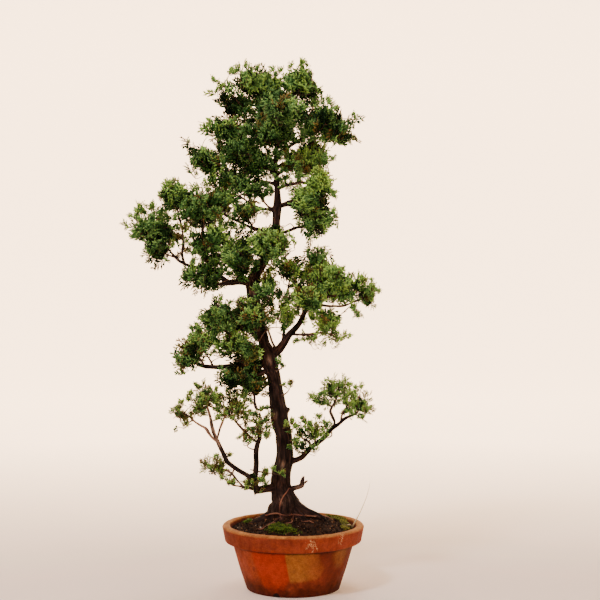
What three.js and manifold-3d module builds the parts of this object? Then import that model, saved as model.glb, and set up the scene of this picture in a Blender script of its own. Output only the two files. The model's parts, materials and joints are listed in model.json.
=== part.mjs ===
// A hinoki cypress bonsai in a round clay pot: pot, drain screens, soil, one grown trunk with
// its branches and roots, moss cushions, a dry grass stem, and one closed solid for each cloud
// of foliage. Millimetres, +Z up, origin at the centre of the pot's underside.
import * as THREE from "three";
import { mergeVertices } from "three/addons/utils/BufferGeometryUtils.js";
import Module from "manifold-3d";

const wasm = await Module();
wasm.setup();

// ---- Driving dimensions -------------------------------------------------------------------
const GAP = 0.3; // clearance between two pieces that touch
const RIM_RADIUS = 90;
const POT_HEIGHT = 82;
const FOOT_RADIUS = 59.5;
const BAND_HEIGHT = 21; // the thick collar below the rim
const BAND_TAPER = 3.5; // how much narrower the collar is at its lower edge
const WALL_TOP_RADIUS = 77; // outside of the wall, just under the collar
const WALL_THICKNESS = 7;
const RIM_THICKNESS = 9.5;
const FLOOR_THICKNESS = 8;
const LIP_ROUND = 3; // rounding of the rim's outer edge
const INNER_ROUND = 2; // rounding of the rim's inner edge
const FOOT_BEVEL = 1.5;
const BAND_BEVEL = 1.5; // bevels where the collar overhangs the wall
const FLOOR_FILLET = 3;
const INNER_TAPER = 2; // how much narrower the mouth is at the collar's lower part
const MOUTH_DEPTH = 15; // height of the nearly straight mouth
const WALL_SHOULDER = 25; // depth below the rim where the inner wall starts to slope in
const DRAIN_RADIUS = 6;
const DRAIN_CIRCLE = 30; // the three drain holes sit on this radius
const DRAIN_COUNT = 3;
const DISC_SIDES = 12; // sides of a drain hole and of its screen
const SCREEN_RADIUS = 10;
const SCREEN_THICKNESS = 1;
const SCREEN_MESH = 5; // pitch of the openings in a drain screen
const SCREEN_HOLE = 3;
const SOIL_EDGE = 77; // soil height at the pot's wall
const SOIL_CREST = 94; // soil height at the trunk
const SOIL_MOUND = [ // radius, and how much of the rise from edge to crest is reached there
  [66, 0.18],
  [48, 0.53],
  [26, 0.91],
  [0, 1],
];
const POT_SIDES = 28; // sides of the pot and of the soil, so that their flats line up
const TRUNK_SIDES = 10;
const BRANCH_SIDES = 6;
const TWIG_SIDES = 4;
const TRUNK_PITCH = 16; // spacing of the sections along the trunk
const BRANCH_PITCH = 21;
const LEAST_STEPS = 3; // sections along a short limb
const THICK_BRANCH = 3; // a limb that starts thicker than this gets BRANCH_SIDES

// ---- Solids from geometry -----------------------------------------------------------------

// A closed geometry as a solid, with its shared vertices merged and its pinched faces dropped.
function solidOf(geometry) {
  const bare = geometry.clone();
  bare.deleteAttribute("normal");
  bare.deleteAttribute("uv");
  const merged = mergeVertices(bare, 1e-4);
  const index = merged.index.array;
  const faces = [];
  for (let i = 0; i < index.length; i += 3) {
    const [a, b, c] = index.slice(i, i + 3);
    if (a !== b && b !== c && c !== a) faces.push(a, b, c);
  }
  return new wasm.Manifold(
    new wasm.Mesh({
      numProp: 3,
      vertProperties: merged.attributes.position.array,
      triVerts: new Uint32Array(faces),
    }),
  );
}

function geometryOf(solid) {
  const mesh = solid.getMesh();
  const geometry = new THREE.BufferGeometry();
  geometry.setAttribute("position", new THREE.BufferAttribute(mesh.vertProperties, 3));
  geometry.setIndex(new THREE.BufferAttribute(mesh.triVerts, 1));
  geometry.computeVertexNormals();
  return geometry;
}

const union = (solids) => solids.reduce((all, one) => all.add(one));

// The biggest connected body of a solid, for when a cut leaves crumbs beside it.
function mainBody(solid) {
  const bodies = solid.decompose();
  return bodies.reduce((best, one) => (one.volume() > best.volume() ? one : best));
}

// A profile of [radius, height] points turned about the Z axis.
function turned(profile, sides) {
  const points = profile.map(([radius, height]) => new THREE.Vector2(radius, height));
  return solidOf(new THREE.LatheGeometry(points, sides).rotateX(Math.PI / 2));
}

function ellipsoid([x, y, z, rx, ry, rz], grow = 0) {
  const ball = new THREE.IcosahedronGeometry(1, 1);
  ball.scale(rx + grow, ry + grow, rz + grow);
  ball.translate(x, y, z);
  return solidOf(ball);
}

function discAt(x, y, bottom, top, radius, sides) {
  const disc = new THREE.CylinderGeometry(radius, radius, top - bottom, sides);
  disc.rotateX(Math.PI / 2);
  disc.translate(x, y, (top + bottom) / 2);
  return solidOf(disc);
}

// A tapering round limb through hand-set points [x, y, z, radius]. grow thickens it all over.
function limb(route, sides, pitch, grow = 0) {
  const curve = new THREE.CatmullRomCurve3(
    route.map(([x, y, z]) => new THREE.Vector3(x, y, z)),
    false,
    "centripetal",
  );
  const steps = Math.max(LEAST_STEPS, Math.round(curve.getLength() / pitch));
  const frames = curve.computeFrenetFrames(steps);
  const rod = new THREE.CylinderGeometry(1, 1, 1, sides, steps);
  const position = rod.attributes.position;
  const vertex = new THREE.Vector3();
  for (let i = 0; i < position.count; i++) {
    vertex.fromBufferAttribute(position, i);
    const ring = Math.round((vertex.y + 0.5) * steps);
    const along = curve.getUtoTmapping(ring / steps) * (route.length - 1);
    const before = Math.min(Math.floor(along), route.length - 2);
    const radius =
      THREE.MathUtils.lerp(route[before][3], route[before + 1][3], along - before) + grow;
    const end = ring === 0 ? -grow : ring === steps ? grow : 0;
    const place = curve
      .getPointAt(ring / steps)
      .addScaledVector(frames.tangents[ring], end)
      .addScaledVector(frames.binormals[ring], vertex.x * radius)
      .addScaledVector(frames.normals[ring], vertex.z * radius);
    position.setXYZ(i, place.x, place.y, place.z);
  }
  return solidOf(rod);
}

// ---- Materials ----------------------------------------------------------------------------
const finish = (color, roughness) =>
  new THREE.MeshStandardMaterial({ color, roughness, metalness: 0 });
const TERRACOTTA = [0xb0532c, 0.8];
const SOIL = [0x2e241d, 0.95];
const BARK = [0x30241f, 0.85];
const STRAW = [0xc9b58a, 0.7];
const MOSS = [0x5b7d22, 0.95];
const SCREEN = [0x2b2f31, 0.6];
const LIME = [0x86a236, 0.6]; // young growth that catches the light
const GREEN = [0x4d7a2c, 0.6];
const DEEP = [0x2f5226, 0.6]; // shaded growth
const RUSTY = [0x776a2f, 0.7]; // thin growth with dead sprays in it

const bonsai = new THREE.Group();

function addPiece(name, solid, [color, roughness]) {
  const mesh = new THREE.Mesh(geometryOf(solid), finish(color, roughness));
  mesh.name = name;
  bonsai.add(mesh);
}

// ---- Pot ----------------------------------------------------------------------------------
const BAND_BOTTOM = POT_HEIGHT - BAND_HEIGHT;
const BAND_FOOT_RADIUS = RIM_RADIUS - BAND_TAPER;
const INNER_FOOT = FOOT_RADIUS - 5;
const INNER_TOP = RIM_RADIUS - RIM_THICKNESS;
const INNER_SHOULDER = WALL_TOP_RADIUS - WALL_THICKNESS;
const LIP_EASE = LIP_ROUND * (1 - Math.SQRT1_2);
const outside = [
  [0, 0],
  [FOOT_RADIUS - FOOT_BEVEL, 0],
  [FOOT_RADIUS, FOOT_BEVEL],
  [WALL_TOP_RADIUS, BAND_BOTTOM - 2 * BAND_BEVEL],
  [WALL_TOP_RADIUS + 1, BAND_BOTTOM - BAND_BEVEL],
  [BAND_FOOT_RADIUS - 2, BAND_BOTTOM],
  [BAND_FOOT_RADIUS, BAND_BOTTOM + BAND_BEVEL],
  [RIM_RADIUS, POT_HEIGHT - LIP_ROUND],
  [RIM_RADIUS - LIP_EASE, POT_HEIGHT - LIP_EASE],
  [RIM_RADIUS - LIP_ROUND, POT_HEIGHT],
];
const inside = [
  [INNER_TOP + INNER_ROUND, POT_HEIGHT],
  [INNER_TOP, POT_HEIGHT - INNER_ROUND],
  [INNER_TOP - INNER_TAPER, POT_HEIGHT - MOUTH_DEPTH],
  [INNER_SHOULDER, POT_HEIGHT - WALL_SHOULDER],
  [INNER_FOOT, FLOOR_THICKNESS + FLOOR_FILLET],
  [INNER_FOOT - FLOOR_FILLET, FLOOR_THICKNESS],
  [0, FLOOR_THICKNESS],
];
const drains = Array.from({ length: DRAIN_COUNT }, (_, turn) => {
  const angle = Math.PI / 2 + (turn * 2 * Math.PI) / DRAIN_COUNT;
  return [DRAIN_CIRCLE * Math.cos(angle), DRAIN_CIRCLE * Math.sin(angle)];
});
const drainHoles = drains.map(([x, y]) =>
  discAt(x, y, -1, FLOOR_THICKNESS + 1, DRAIN_RADIUS, DISC_SIDES),
);
const wall = turned([...outside, ...inside], POT_SIDES);
addPiece("clay_pot", wall.subtract(union(drainHoles)), TERRACOTTA);

// ---- Drain screens: a small plastic net over each drain hole --------------------------------
const SCREEN_BOTTOM = FLOOR_THICKNESS + GAP;
const SCREEN_TOP = SCREEN_BOTTOM + SCREEN_THICKNESS;

function drainScreen(x, y) {
  const cuts = [];
  for (const i of [-0.5, 0.5]) {
    for (const j of [-0.5, 0.5]) {
      const cut = new THREE.BoxGeometry(SCREEN_HOLE, SCREEN_HOLE, 3 * SCREEN_THICKNESS);
      cut.translate(x + i * SCREEN_MESH, y + j * SCREEN_MESH, SCREEN_BOTTOM);
      cuts.push(solidOf(cut));
    }
  }
  const disc = discAt(x, y, SCREEN_BOTTOM, SCREEN_TOP, SCREEN_RADIUS, DISC_SIDES);
  return disc.subtract(union(cuts));
}

drains.forEach(([x, y], i) => addPiece(`drain_screen_${i + 1}`, drainScreen(x, y), SCREEN));

// ---- Trunk, roots and branches: one piece of wood --------------------------------------------
// Each limb is a list of points [x, y, z, radius], from the trunk outwards.
const TRUNK = [
  [-12, 0, 62, 22],
  [-12, 0, 84, 21],
  [-11.5, 0, 97, 18.5],
  [-11, 0, 110, 15.5],
  [-13.5, 0, 120, 13],
  [-15.5, 0, 132, 12],
  [-14.8, -1, 146, 11.2],
  [-11.7, -2, 162, 10.4],
  [-11.2, -3, 178, 9.8],
  [-12, -3, 194, 9.6],
  [-15.5, -3, 210, 10.6],
  [-17.5, -2, 221, 10.4],
  [-20, 0, 236, 9.5],
  [-21.5, 1, 250, 8.8],
  [-22.8, 2, 262, 7.8],
  [-25.5, 3, 276, 8.2],
  [-29.5, 4, 290, 9.4],
  [-33, 5, 300, 8.6],
  [-37, 6, 311, 6.4],
  [-39, 7, 324, 6],
  [-42, 8, 338, 6],
  [-46.5, 8, 354, 6.5],
  [-50, 8, 370, 7],
  [-51.2, 7, 386, 7.4],
  [-48.5, 5, 399, 6.6],
  [-41, 3, 410, 6],
  [-33, 1, 421, 5.5],
  [-26, 0, 436, 5],
  [-22, -1, 452, 4.5],
  [-21.2, -1, 468, 4.2],
  [-20.3, 0, 482, 4.9],
  [-19.5, 1, 494, 4.2],
  [-19.5, 2, 506, 3],
  [-21, 3, 525, 2.7],
  [-22, 4, 550, 2.4],
  [-21, 4, 580, 2.1],
  [-22, 3, 610, 1.7],
  [-26, 2, 634, 1.3],
];

const ROOTS = {
  right: [
    [-6, -2, 112, 9], [4, -4, 103, 8], [15, -6, 96.5, 6], [28, -9, 94, 4.4], [41, -12, 86, 3],
    [50, -14, 76, 2],
  ],
  left: [
    [-18, -2, 108, 9], [-27, -3, 98, 7.5], [-37, -5, 93, 5], [-48, -8, 84, 3.4],
    [-56, -10, 74, 2.4],
  ],
  front: [
    [-12, -6, 108, 9], [-12, -16, 97, 7.5], [-13, -27, 90, 5], [-15, -40, 81, 3.2],
    [-16, -48, 72, 2.2],
  ],
  frontRight: [
    [-6, -6, 106, 8], [4, -15, 96, 6.2], [13, -25, 89, 4.4], [24, -36, 80, 3], [30, -43, 70, 2],
  ],
  backLeft: [
    [-16, 6, 106, 8.5], [-24, 15, 97, 6.5], [-33, 26, 89, 4.5], [-44, 38, 79, 3],
    [-50, 44, 70, 2],
  ],
  backRight: [
    [-6, 6, 107, 8.5], [2, 15, 97, 7], [10, 27, 89, 4.6], [19, 40, 79, 3], [23, 47, 70, 2],
  ],
};

// The lowest limbs: a knobby stub on the left that carries an upright stem and a long arm,
// a rising branch on the right, and a short dead stub.
const LOW_LIMBS = {
  knobbyStub: [
    [-20, -3, 127, 5.5], [-33, -7, 126, 4.6], [-41, -9, 125, 4.4], [-46.5, -10, 123.5, 4],
    [-48, -10, 121, 3],
  ],
  uprightStem: [
    [-44, -10, 125, 3.6], [-47, -11, 134, 3.1], [-46.5, -12, 146, 2.7], [-46.3, -13, 160, 2.6],
    [-46, -13, 174, 2.5], [-44, -12, 186, 2.5], [-42, -11, 193, 2.1], [-43, -10, 203, 1.7],
    [-46, -10, 213, 1.3],
  ],
  longArm: [
    [-47, -12, 138, 2.6], [-57, -14, 145, 2.5], [-66, -15, 151, 2.4], [-75, -16, 157, 2.4],
    [-83, -17, 163, 2.5], [-89, -17, 170, 2.4], [-94, -17, 180, 2.3], [-98, -16, 190, 2.2],
    [-101.5, -15, 200, 1.9], [-104, -13, 212, 1.7], [-106, -11, 224, 1.5], [-109, -9, 234, 1.3],
    [-112, -7, 245, 1.1],
  ],
  armFork: [
    [-96, -17, 185, 1.8], [-104, -18, 190, 1.6], [-109, -19, 196.5, 1.5], [-113, -20, 202, 1.4],
    [-120, -20, 205.5, 1.3], [-126, -19, 210, 1.2], [-131, -16, 215, 1.1], [-138, -12, 221, 1],
    [-145, -9, 226, 0.9],
  ],
  armTwig: [
    [-97, -16, 189, 1.5], [-94, -14, 200, 1.3], [-91, -11, 210, 1.2], [-87, -7, 219, 1.1],
    [-80, -3, 228, 0.9],
  ],
  stemArm: [
    [-44.5, -12, 187, 1.8], [-55, -9, 194, 1.5], [-62, -7, 200, 1.4], [-69, -5, 208, 1.3],
    [-75, -3, 214.5, 1.2], [-81, 0, 219, 1.1], [-80, 3, 230, 0.9],
  ],
  lowTwig: [[-46, -11, 127, 2], [-58, -14, 130, 1.4], [-68, -17, 132, 1.1], [-77, -18, 133.5, 0.9]],
  lowFork: [
    [-62, -15, 131, 1.3], [-73, -14, 142, 1.2], [-81, -12, 150, 1.1], [-89, -9, 153, 1],
    [-98, -6, 155, 0.9],
  ],
  rightBranch: [
    [-10, -1, 158, 4.4], [2, -2, 163.5, 3.3], [11, -3, 168, 3], [18, -4, 174.5, 2.8],
    [23, -4, 180, 2.7], [31, -5, 185.5, 2.5], [40, -5, 193, 2.5], [48, -5, 201, 2.4],
    [56, -4, 208.5, 2.1], [63, -3, 214, 1.9], [71, -2, 218.5, 1.6], [80, 0, 222, 1.3],
    [87, 2, 230, 1],
  ],
  rightFork: [
    [49, -5, 201, 1.8], [52, -3, 211, 1.6], [49, -1, 220, 1.5], [47, 0, 226, 1.5],
    [50, 2, 232, 1.4], [54, 3, 240, 1.2], [57, 4, 249, 0.9],
  ],
  rightForkTwig: [[49.5, 2, 231, 1.3], [43, 3, 234, 1.1], [36, 3, 237, 1], [31, 3, 241, 0.8]],
  rightTwig: [[60, -3, 212, 1.3], [62, 0, 221, 1.1], [66, 3, 229, 1], [73, 4, 237, 0.8]],
  rightInnerTwig: [[23, -4, 180, 1.7], [20, -6, 187, 1.3], [12, -7, 192, 1.1], [5, -8, 197, 0.9]],
  rightUpperTwig: [[46, -5, 199, 1.2], [42, -6, 205, 1], [34, -7, 206, 0.9], [27, -6, 203, 0.8]],
  deadStub: [
    [-7, -4, 125, 4.4], [1, -6, 127.5, 2.7], [8, -7, 129.5, 2.4], [12, -7, 131.5, 2.5],
    [12.5, -7, 136, 1.8], [12.8, -7, 141, 0.8],
  ],
  deadStubSpur: [[10, -7, 131, 2], [15, -7.5, 134.5, 1.2], [18, -8, 136.5, 0.7]],
  trunkKnob: [[-15, -1, 226, 6], [-8.5, -2, 227.5, 4], [-6, -2, 229, 2.6]],
};

// The middle tiers, left and right of the fork in the trunk.
const MIDDLE_LIMBS = {
  underTwig: [
    [-23, -5, 232, 2.2], [-35, -8, 231, 1.2], [-44, -9, 228.5, 1.4], [-49, -9, 236, 1.7],
    [-50, -8, 247, 1.6], [-55, -7, 256, 1.5], [-62, -5, 265, 1.3], [-69, -4, 273, 1],
  ],
  leftTier: [
    [-29, 4, 282, 4.6], [-42, 3, 285, 3.3], [-56, 3, 284.5, 3], [-74, 3, 283, 2.7],
    [-90, 3, 281.5, 2.5], [-103, 4, 281, 2.3], [-113, 5, 282, 2], [-122, 5, 285, 1.8],
    [-129, 4, 287, 1.5], [-135, 2, 284.5, 1.2], [-142, 1, 288, 0.9],
  ],
  leftTierUpright: [
    [-102, 4, 281.5, 1.5], [-106, 6, 290, 1.2], [-112, 8, 300, 1.1], [-118, 7, 310, 1],
    [-124, 5, 318, 0.8],
  ],
  leftTierSpur: [[-113, 5, 282, 1.4], [-117, 4, 291, 1.1], [-123, 3, 299, 1], [-130, 2, 307, 0.8]],
  leftRiser: [
    [-55, 3, 284.5, 2.3], [-62, 2, 296, 1.9], [-70, 0, 307, 1.6], [-78, -2, 319, 1.4],
    [-88, -3, 332, 1.2], [-95, -4, 346, 0.9],
  ],
  shadeLimb: [[-30, 1, 279, 3], [-45, -5, 272, 1.9], [-58, -7, 270, 1.5], [-73, -5, 272, 1]],
  shoulderLimb: [
    [-41, 7, 335, 3.4], [-52, 2, 338, 2.3], [-64, -2, 341, 1.8], [-78, -3, 345, 1.5],
    [-91, -4, 352, 1.2], [-97, -4, 363, 0.8],
  ],
  faceLimb: [[-43, 4, 344, 2.8], [-46, -8, 345, 1.9], [-48, -22, 347, 1.2]],
  backLeftLimb: [[-38, 8, 316, 3.6], [-48, 22, 321, 2.4], [-60, 34, 328, 1.8], [-72, 45, 335, 1.1]],
  backShadeLimb: [
    [-28, 5, 275, 3.6], [-38, 20, 274, 2.5], [-48, 34, 275, 1.9], [-58, 47, 278, 1.1],
  ],
  rightTier: [
    [-29, 4, 296, 6.4], [-20, 3, 303, 5.4], [-13, 0, 311, 4.6], [-7, -2, 320, 4],
    [0, -3, 327, 3.5], [6, -3, 334, 3], [12, -3, 344, 2.8], [17, -2, 354, 2.6],
    [25, -1, 361, 2.4], [33, 0, 367, 2.1], [42, 2, 375, 1.8], [48, 3, 386, 1.4], [52, 4, 397, 1],
  ],
  rightLow: [
    [-4, -3, 323, 2.2], [8, -4, 323, 1.5], [19, -4, 323.5, 1.4], [30, -4, 325, 1.3],
    [40, -3, 325, 1.1], [50, -2, 321.5, 0.9],
  ],
  rightLowUpright: [[30, -4, 324.5, 1.5], [34, -5, 332, 1.1], [41, -5, 340, 0.8]],
  rightLong: [
    [21, -1, 358, 2.1], [32, -4, 359.5, 1.6], [46, -5, 359, 1.4], [60, -4, 359.5, 1.3],
    [72, -3, 362, 1.2], [84, -1, 367, 1], [94, 0, 373, 0.8],
  ],
  rightUpper: [
    [32, 0, 366.5, 1.8], [42, -2, 370, 1.5], [54, -3, 372.5, 1.3], [66, -2, 377, 1.1],
    [79, -1, 385, 0.8],
  ],
  rightFace: [[11, -3, 343, 2.2], [14, -10, 352, 1.8], [16, -17, 361, 1.4], [18, -22, 371, 1]],
  rightBack: [[19, -1, 357, 2.2], [25, 14, 364, 1.8], [30, 28, 372, 1.4], [35, 41, 384, 1]],
  thinRiser: [
    [-13, 0, 311, 2.4], [-12, 2, 328, 1.7], [-12, 1, 345, 1.4], [-9, 0, 365, 1.2],
    [-5, 0, 386, 1], [-2, 0, 405, 0.8],
  ],
  plumeTwig: [[46, 3, 382, 1.4], [40, 6, 398, 1.1], [31, 9, 419, 0.8]],
  crossTwig: [
    [-22, 3, 303, 2.2], [-27, 0, 313, 1.4], [-30, -3, 322, 1.2], [-34, -7, 331, 1.1],
    [-42, -15, 339, 0.9],
  ],
  tuftTwig: [[-49, 6, 377, 2.6], [-42, -1, 380, 1.5], [-33, -9, 385, 0.9]],
};

// The long upper-left branch with what it carries, and the limbs about the bend of the trunk.
const UPPER_LIMBS = {
  longLeft: [
    [-51, 7, 388, 5.4], [-62, 5, 390, 4.1], [-72, 3, 390, 3.6], [-82, 2, 389.5, 3.3],
    [-89, 1, 394, 2.8], [-96, 0, 399.5, 2.6], [-106, -1, 404, 2.4], [-118, -1, 407, 2.2],
    [-128, -1, 409, 2], [-136, 0, 412, 1.8], [-143, 0, 416.5, 1.6], [-150, 0, 422, 1.5],
    [-157, 0, 430, 1.3], [-166, 0, 441, 1.2], [-176, 0, 454, 1.1], [-185, 0, 466, 0.8],
  ],
  longLeftLow: [[-79, 2, 389, 2.4], [-92, 2, 386.5, 1.8], [-104, 1, 388, 1.5], [-116, 0, 394, 1]],
  longLeftInner: [
    [-99, 0, 400.5, 2.3], [-106, -5, 412, 1.8], [-112, -10, 424, 1.6], [-114, -13, 438, 1.4],
    [-113, -12, 455, 1.2], [-112, -10, 473, 0.9],
  ],
  longLeftOuter: [
    [-137, 0, 412, 1.8], [-140, 0, 426, 1.5], [-139, 1, 441, 1.4], [-141, 1, 458, 1.3],
    [-145, 0, 476, 1.2], [-149, 0, 495, 0.9],
  ],
  longLeftTip: [[-149, 0, 421, 1.4], [-158, -2, 424, 1.2], [-169, -2, 430, 0.8]],
  elbowFace: [[-67, 4, 390, 2.5], [-72, -3, 402, 1.9], [-74, -10, 413, 1.5], [-76, -17, 426, 1]],
  elbowBack: [[-61, 6, 390, 2.8], [-66, 17, 401, 2.1], [-71, 28, 412, 1.7], [-77, 39, 425, 1.1]],
  longLeftBack: [
    [-105, -1, 403.5, 2.1], [-109, 10, 418, 1.8], [-112, 22, 436, 1.5], [-116, 32, 455, 1.2],
    [-119, 40, 474, 0.9],
  ],
  bendFace: [[-31, 1, 425, 3.2], [-32, -10, 431, 2], [-31, -20, 436, 1.5], [-30, -28, 441, 1]],
  bendBack: [[-27, 1, 434, 3.2], [-28, 16, 437, 2.1], [-29, 30, 440, 1.6], [-30, 41, 443, 1]],
  sweepLeft: [
    [-22, -1, 452, 3.2], [-36, 0, 453, 2.3], [-50, 0, 457.5, 2], [-61, -1, 461.5, 1.8],
    [-71, -2, 466.5, 1.6], [-82, -3, 472, 1.4], [-94, -6, 479, 1.2], [-107, -9, 486, 0.9],
  ],
  sweepTwig: [[-51, 0, 458, 1.6], [-57, -2, 468, 1.2], [-62, -4, 480, 0.8]],
  archLeft: [
    [-21, 0, 481, 3.2], [-32, 0, 481.5, 2], [-43, -1, 482.5, 1.7], [-50, -2, 487, 1.5],
    [-58, -3, 492, 1.3], [-67, -1, 497, 1.2], [-77, 3, 500, 1], [-86, 7, 502, 0.8],
  ],
  archTwig: [
    [-23, 0, 481, 2], [-31, 1, 484.5, 1.3], [-37, 1, 491, 1.1], [-42, 0, 498, 1],
    [-48, 0, 506, 0.8],
  ],
  rightShort: [
    [-19.5, 1, 487, 2.4], [-9, -1, 490, 1.7], [2, -4, 491.5, 1.4], [14, -8, 494, 1.2],
    [25, -10, 498, 0.8],
  ],
  rightSweep: [
    [-22, -1, 447, 3.2], [-12, -3, 452, 2], [-3, -5, 455.5, 1.8], [5, -6, 458, 1.7],
    [14, -7, 459.5, 1.5], [22, -8, 464, 1.3], [31, -8, 473, 0.9],
  ],
  rightShortBack: [[-20, 2, 485, 2.4], [-8, 12, 487, 1.8], [8, 25, 488, 1.2]],
};

// Limbs that carry the crown.
const CROWN_LIMBS = {
  rightShoulder: [
    [-22, 4, 548, 2.2], [-8, 3, 558, 1.8], [8, 2, 568, 1.6], [24, 0, 576, 1.4],
    [40, -3, 585, 1.2], [55, -3, 593, 0.8],
  ],
  rustyLimb: [[-21, 3, 524, 2.4], [-12, 4, 530, 1.8], [-2, 6, 538, 1.5], [11, 9, 546, 1]],
  plumeLimb: [
    [-19.5, 2, 507, 2.2], [-8, 0, 512, 1.6], [6, -3, 514, 1.4], [20, -6, 516, 1.2],
    [35, -8, 520, 0.8],
  ],
  leftTier: [
    [-21, 3, 529, 2.6], [-36, 4, 535, 2.3], [-52, 5, 538, 2], [-70, 5, 540, 1.8],
    [-88, 5, 542, 1.5], [-106, 5, 545, 1.2], [-122, 2, 548, 0.8],
  ],
  leftTierFace: [[-49, 5, 537.5, 1.8], [-56, -2, 545, 1.4], [-65, -10, 555, 0.9]],
  leftLow: [
    [-20, 2, 513, 2.4], [-34, 4, 516, 1.7], [-50, 7, 517, 1.5], [-64, 9, 519, 1.2],
    [-79, 10, 520, 0.8],
  ],
  leftShoulder: [
    [-21, 4, 571, 2.1], [-36, 1, 574, 1.7], [-54, -3, 577, 1.5], [-72, -6, 581, 1.2],
    [-89, -8, 586, 0.8],
  ],
  spikeLimb: [
    [-21.5, 3, 591, 1.9], [-34, 3, 597, 1.6], [-50, 4, 602, 1.4], [-64, 4, 609, 1.2],
    [-76, 2, 622, 1], [-89, 0, 638, 0.8],
  ],
  topLeft: [[-24, 3, 621, 1.6], [-36, 2, 630, 1.4], [-46, 0, 638, 1.2], [-56, -3, 648, 0.8]],
  topRight: [
    [-22, 3, 605, 1.8], [-12, 2, 615, 1.5], [-2, 1, 626, 1.3], [6, 0, 638, 1.1], [9, 0, 653, 0.8],
  ],
  middleBack: [[-21.5, 4, 569, 2.3], [-21, 18, 576, 1.8], [-20, 31, 583, 1.2]],
  topBack: [[-22, 3, 603, 1.9], [-24, 20, 613, 1.5], [-28, 36, 623, 1]],
  middleFace: [[-21.5, 3, 584, 2], [-20, -14, 591, 1.5], [-17, -30, 599, 1]],
  leftBack: [[-22, 4, 541, 2.4], [-36, 15, 547, 1.8], [-54, 28, 554, 1.2]],
  rustyBack: [[-21, 3, 533, 2.4], [-10, 18, 541, 1.7], [8, 34, 550, 1.1]],
};

const LIMBS = [ROOTS, LOW_LIMBS, MIDDLE_LIMBS, UPPER_LIMBS, CROWN_LIMBS].flatMap(Object.values);

function wood(grow = 0) {
  const branches = LIMBS.map((route) => {
    const sides = route[0][3] > THICK_BRANCH ? BRANCH_SIDES : TWIG_SIDES;
    return limb(route, sides, BRANCH_PITCH, grow);
  });
  return union([limb(TRUNK, TRUNK_SIDES, TRUNK_PITCH, grow), ...branches]);
}

const woodSpace = wood(GAP);
addPiece("trunk_and_branches", wood(), BARK);

// ---- Soil: fills the pot, mounded to the trunk, and opened for the roots and screens ----------
function soilProfile(lift = 0) {
  const rise = SOIL_CREST - SOIL_EDGE;
  return [
    [0, FLOOR_THICKNESS + GAP],
    [INNER_FOOT - FLOOR_FILLET - GAP, FLOOR_THICKNESS + GAP],
    [INNER_FOOT - GAP, FLOOR_THICKNESS + FLOOR_FILLET + GAP],
    [INNER_SHOULDER - GAP, POT_HEIGHT - WALL_SHOULDER],
    [INNER_TOP - INNER_TAPER - 2 * GAP, POT_HEIGHT - MOUTH_DEPTH],
    [INNER_TOP - INNER_TAPER, SOIL_EDGE - 2 + lift],
    [INNER_TOP - 2 * INNER_TAPER, SOIL_EDGE + lift],
    ...SOIL_MOUND.map(([radius, part]) => [radius, SOIL_EDGE + part * rise + lift]),
  ];
}

const screenSpaces = drains.map(([x, y]) =>
  discAt(x, y, FLOOR_THICKNESS - 1, SCREEN_TOP + GAP, SCREEN_RADIUS + 2 * GAP, DISC_SIDES),
);
const soil = turned(soilProfile(), POT_SIDES).subtract(woodSpace).subtract(union(screenSpaces));
addPiece("potting_soil", mainBody(soil), SOIL);

// ---- Moss cushions on the soil, and a dry grass stem at the right rim ----------------------------
const soilSpace = turned(soilProfile(GAP), POT_SIDES);
const MOSS_PADS = {
  moss_front: [[-14, -46, 84, 17, 16, 5.5], [-2, -54, 82, 10, 9, 4.5]],
  moss_right: [
    [48, 46, 79, 13, 13, 5], [59, 30, 79, 11, 16, 5], [64, 6, 79, 9, 17, 5],
    [65, -15, 79, 9, 14, 4.5],
  ],
  moss_left: [[-55, 9, 82, 9, 11, 4]],
};
for (const [name, lobes] of Object.entries(MOSS_PADS)) {
  const cushion = union(lobes.map((lobe) => ellipsoid(lobe)));
  addPiece(name, mainBody(cushion.subtract(soilSpace).subtract(woodSpace)), MOSS);
}

const GRASS_STEM = [[73, -1, 77, 0.7], [75.5, -1, 88, 0.7], [81, -2, 102, 0.6], [93, -3, 124, 0.5]];
addPiece("dry_grass_stem", limb(GRASS_STEM, TWIG_SIDES, BRANCH_PITCH).subtract(soilSpace), STRAW);

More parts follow.
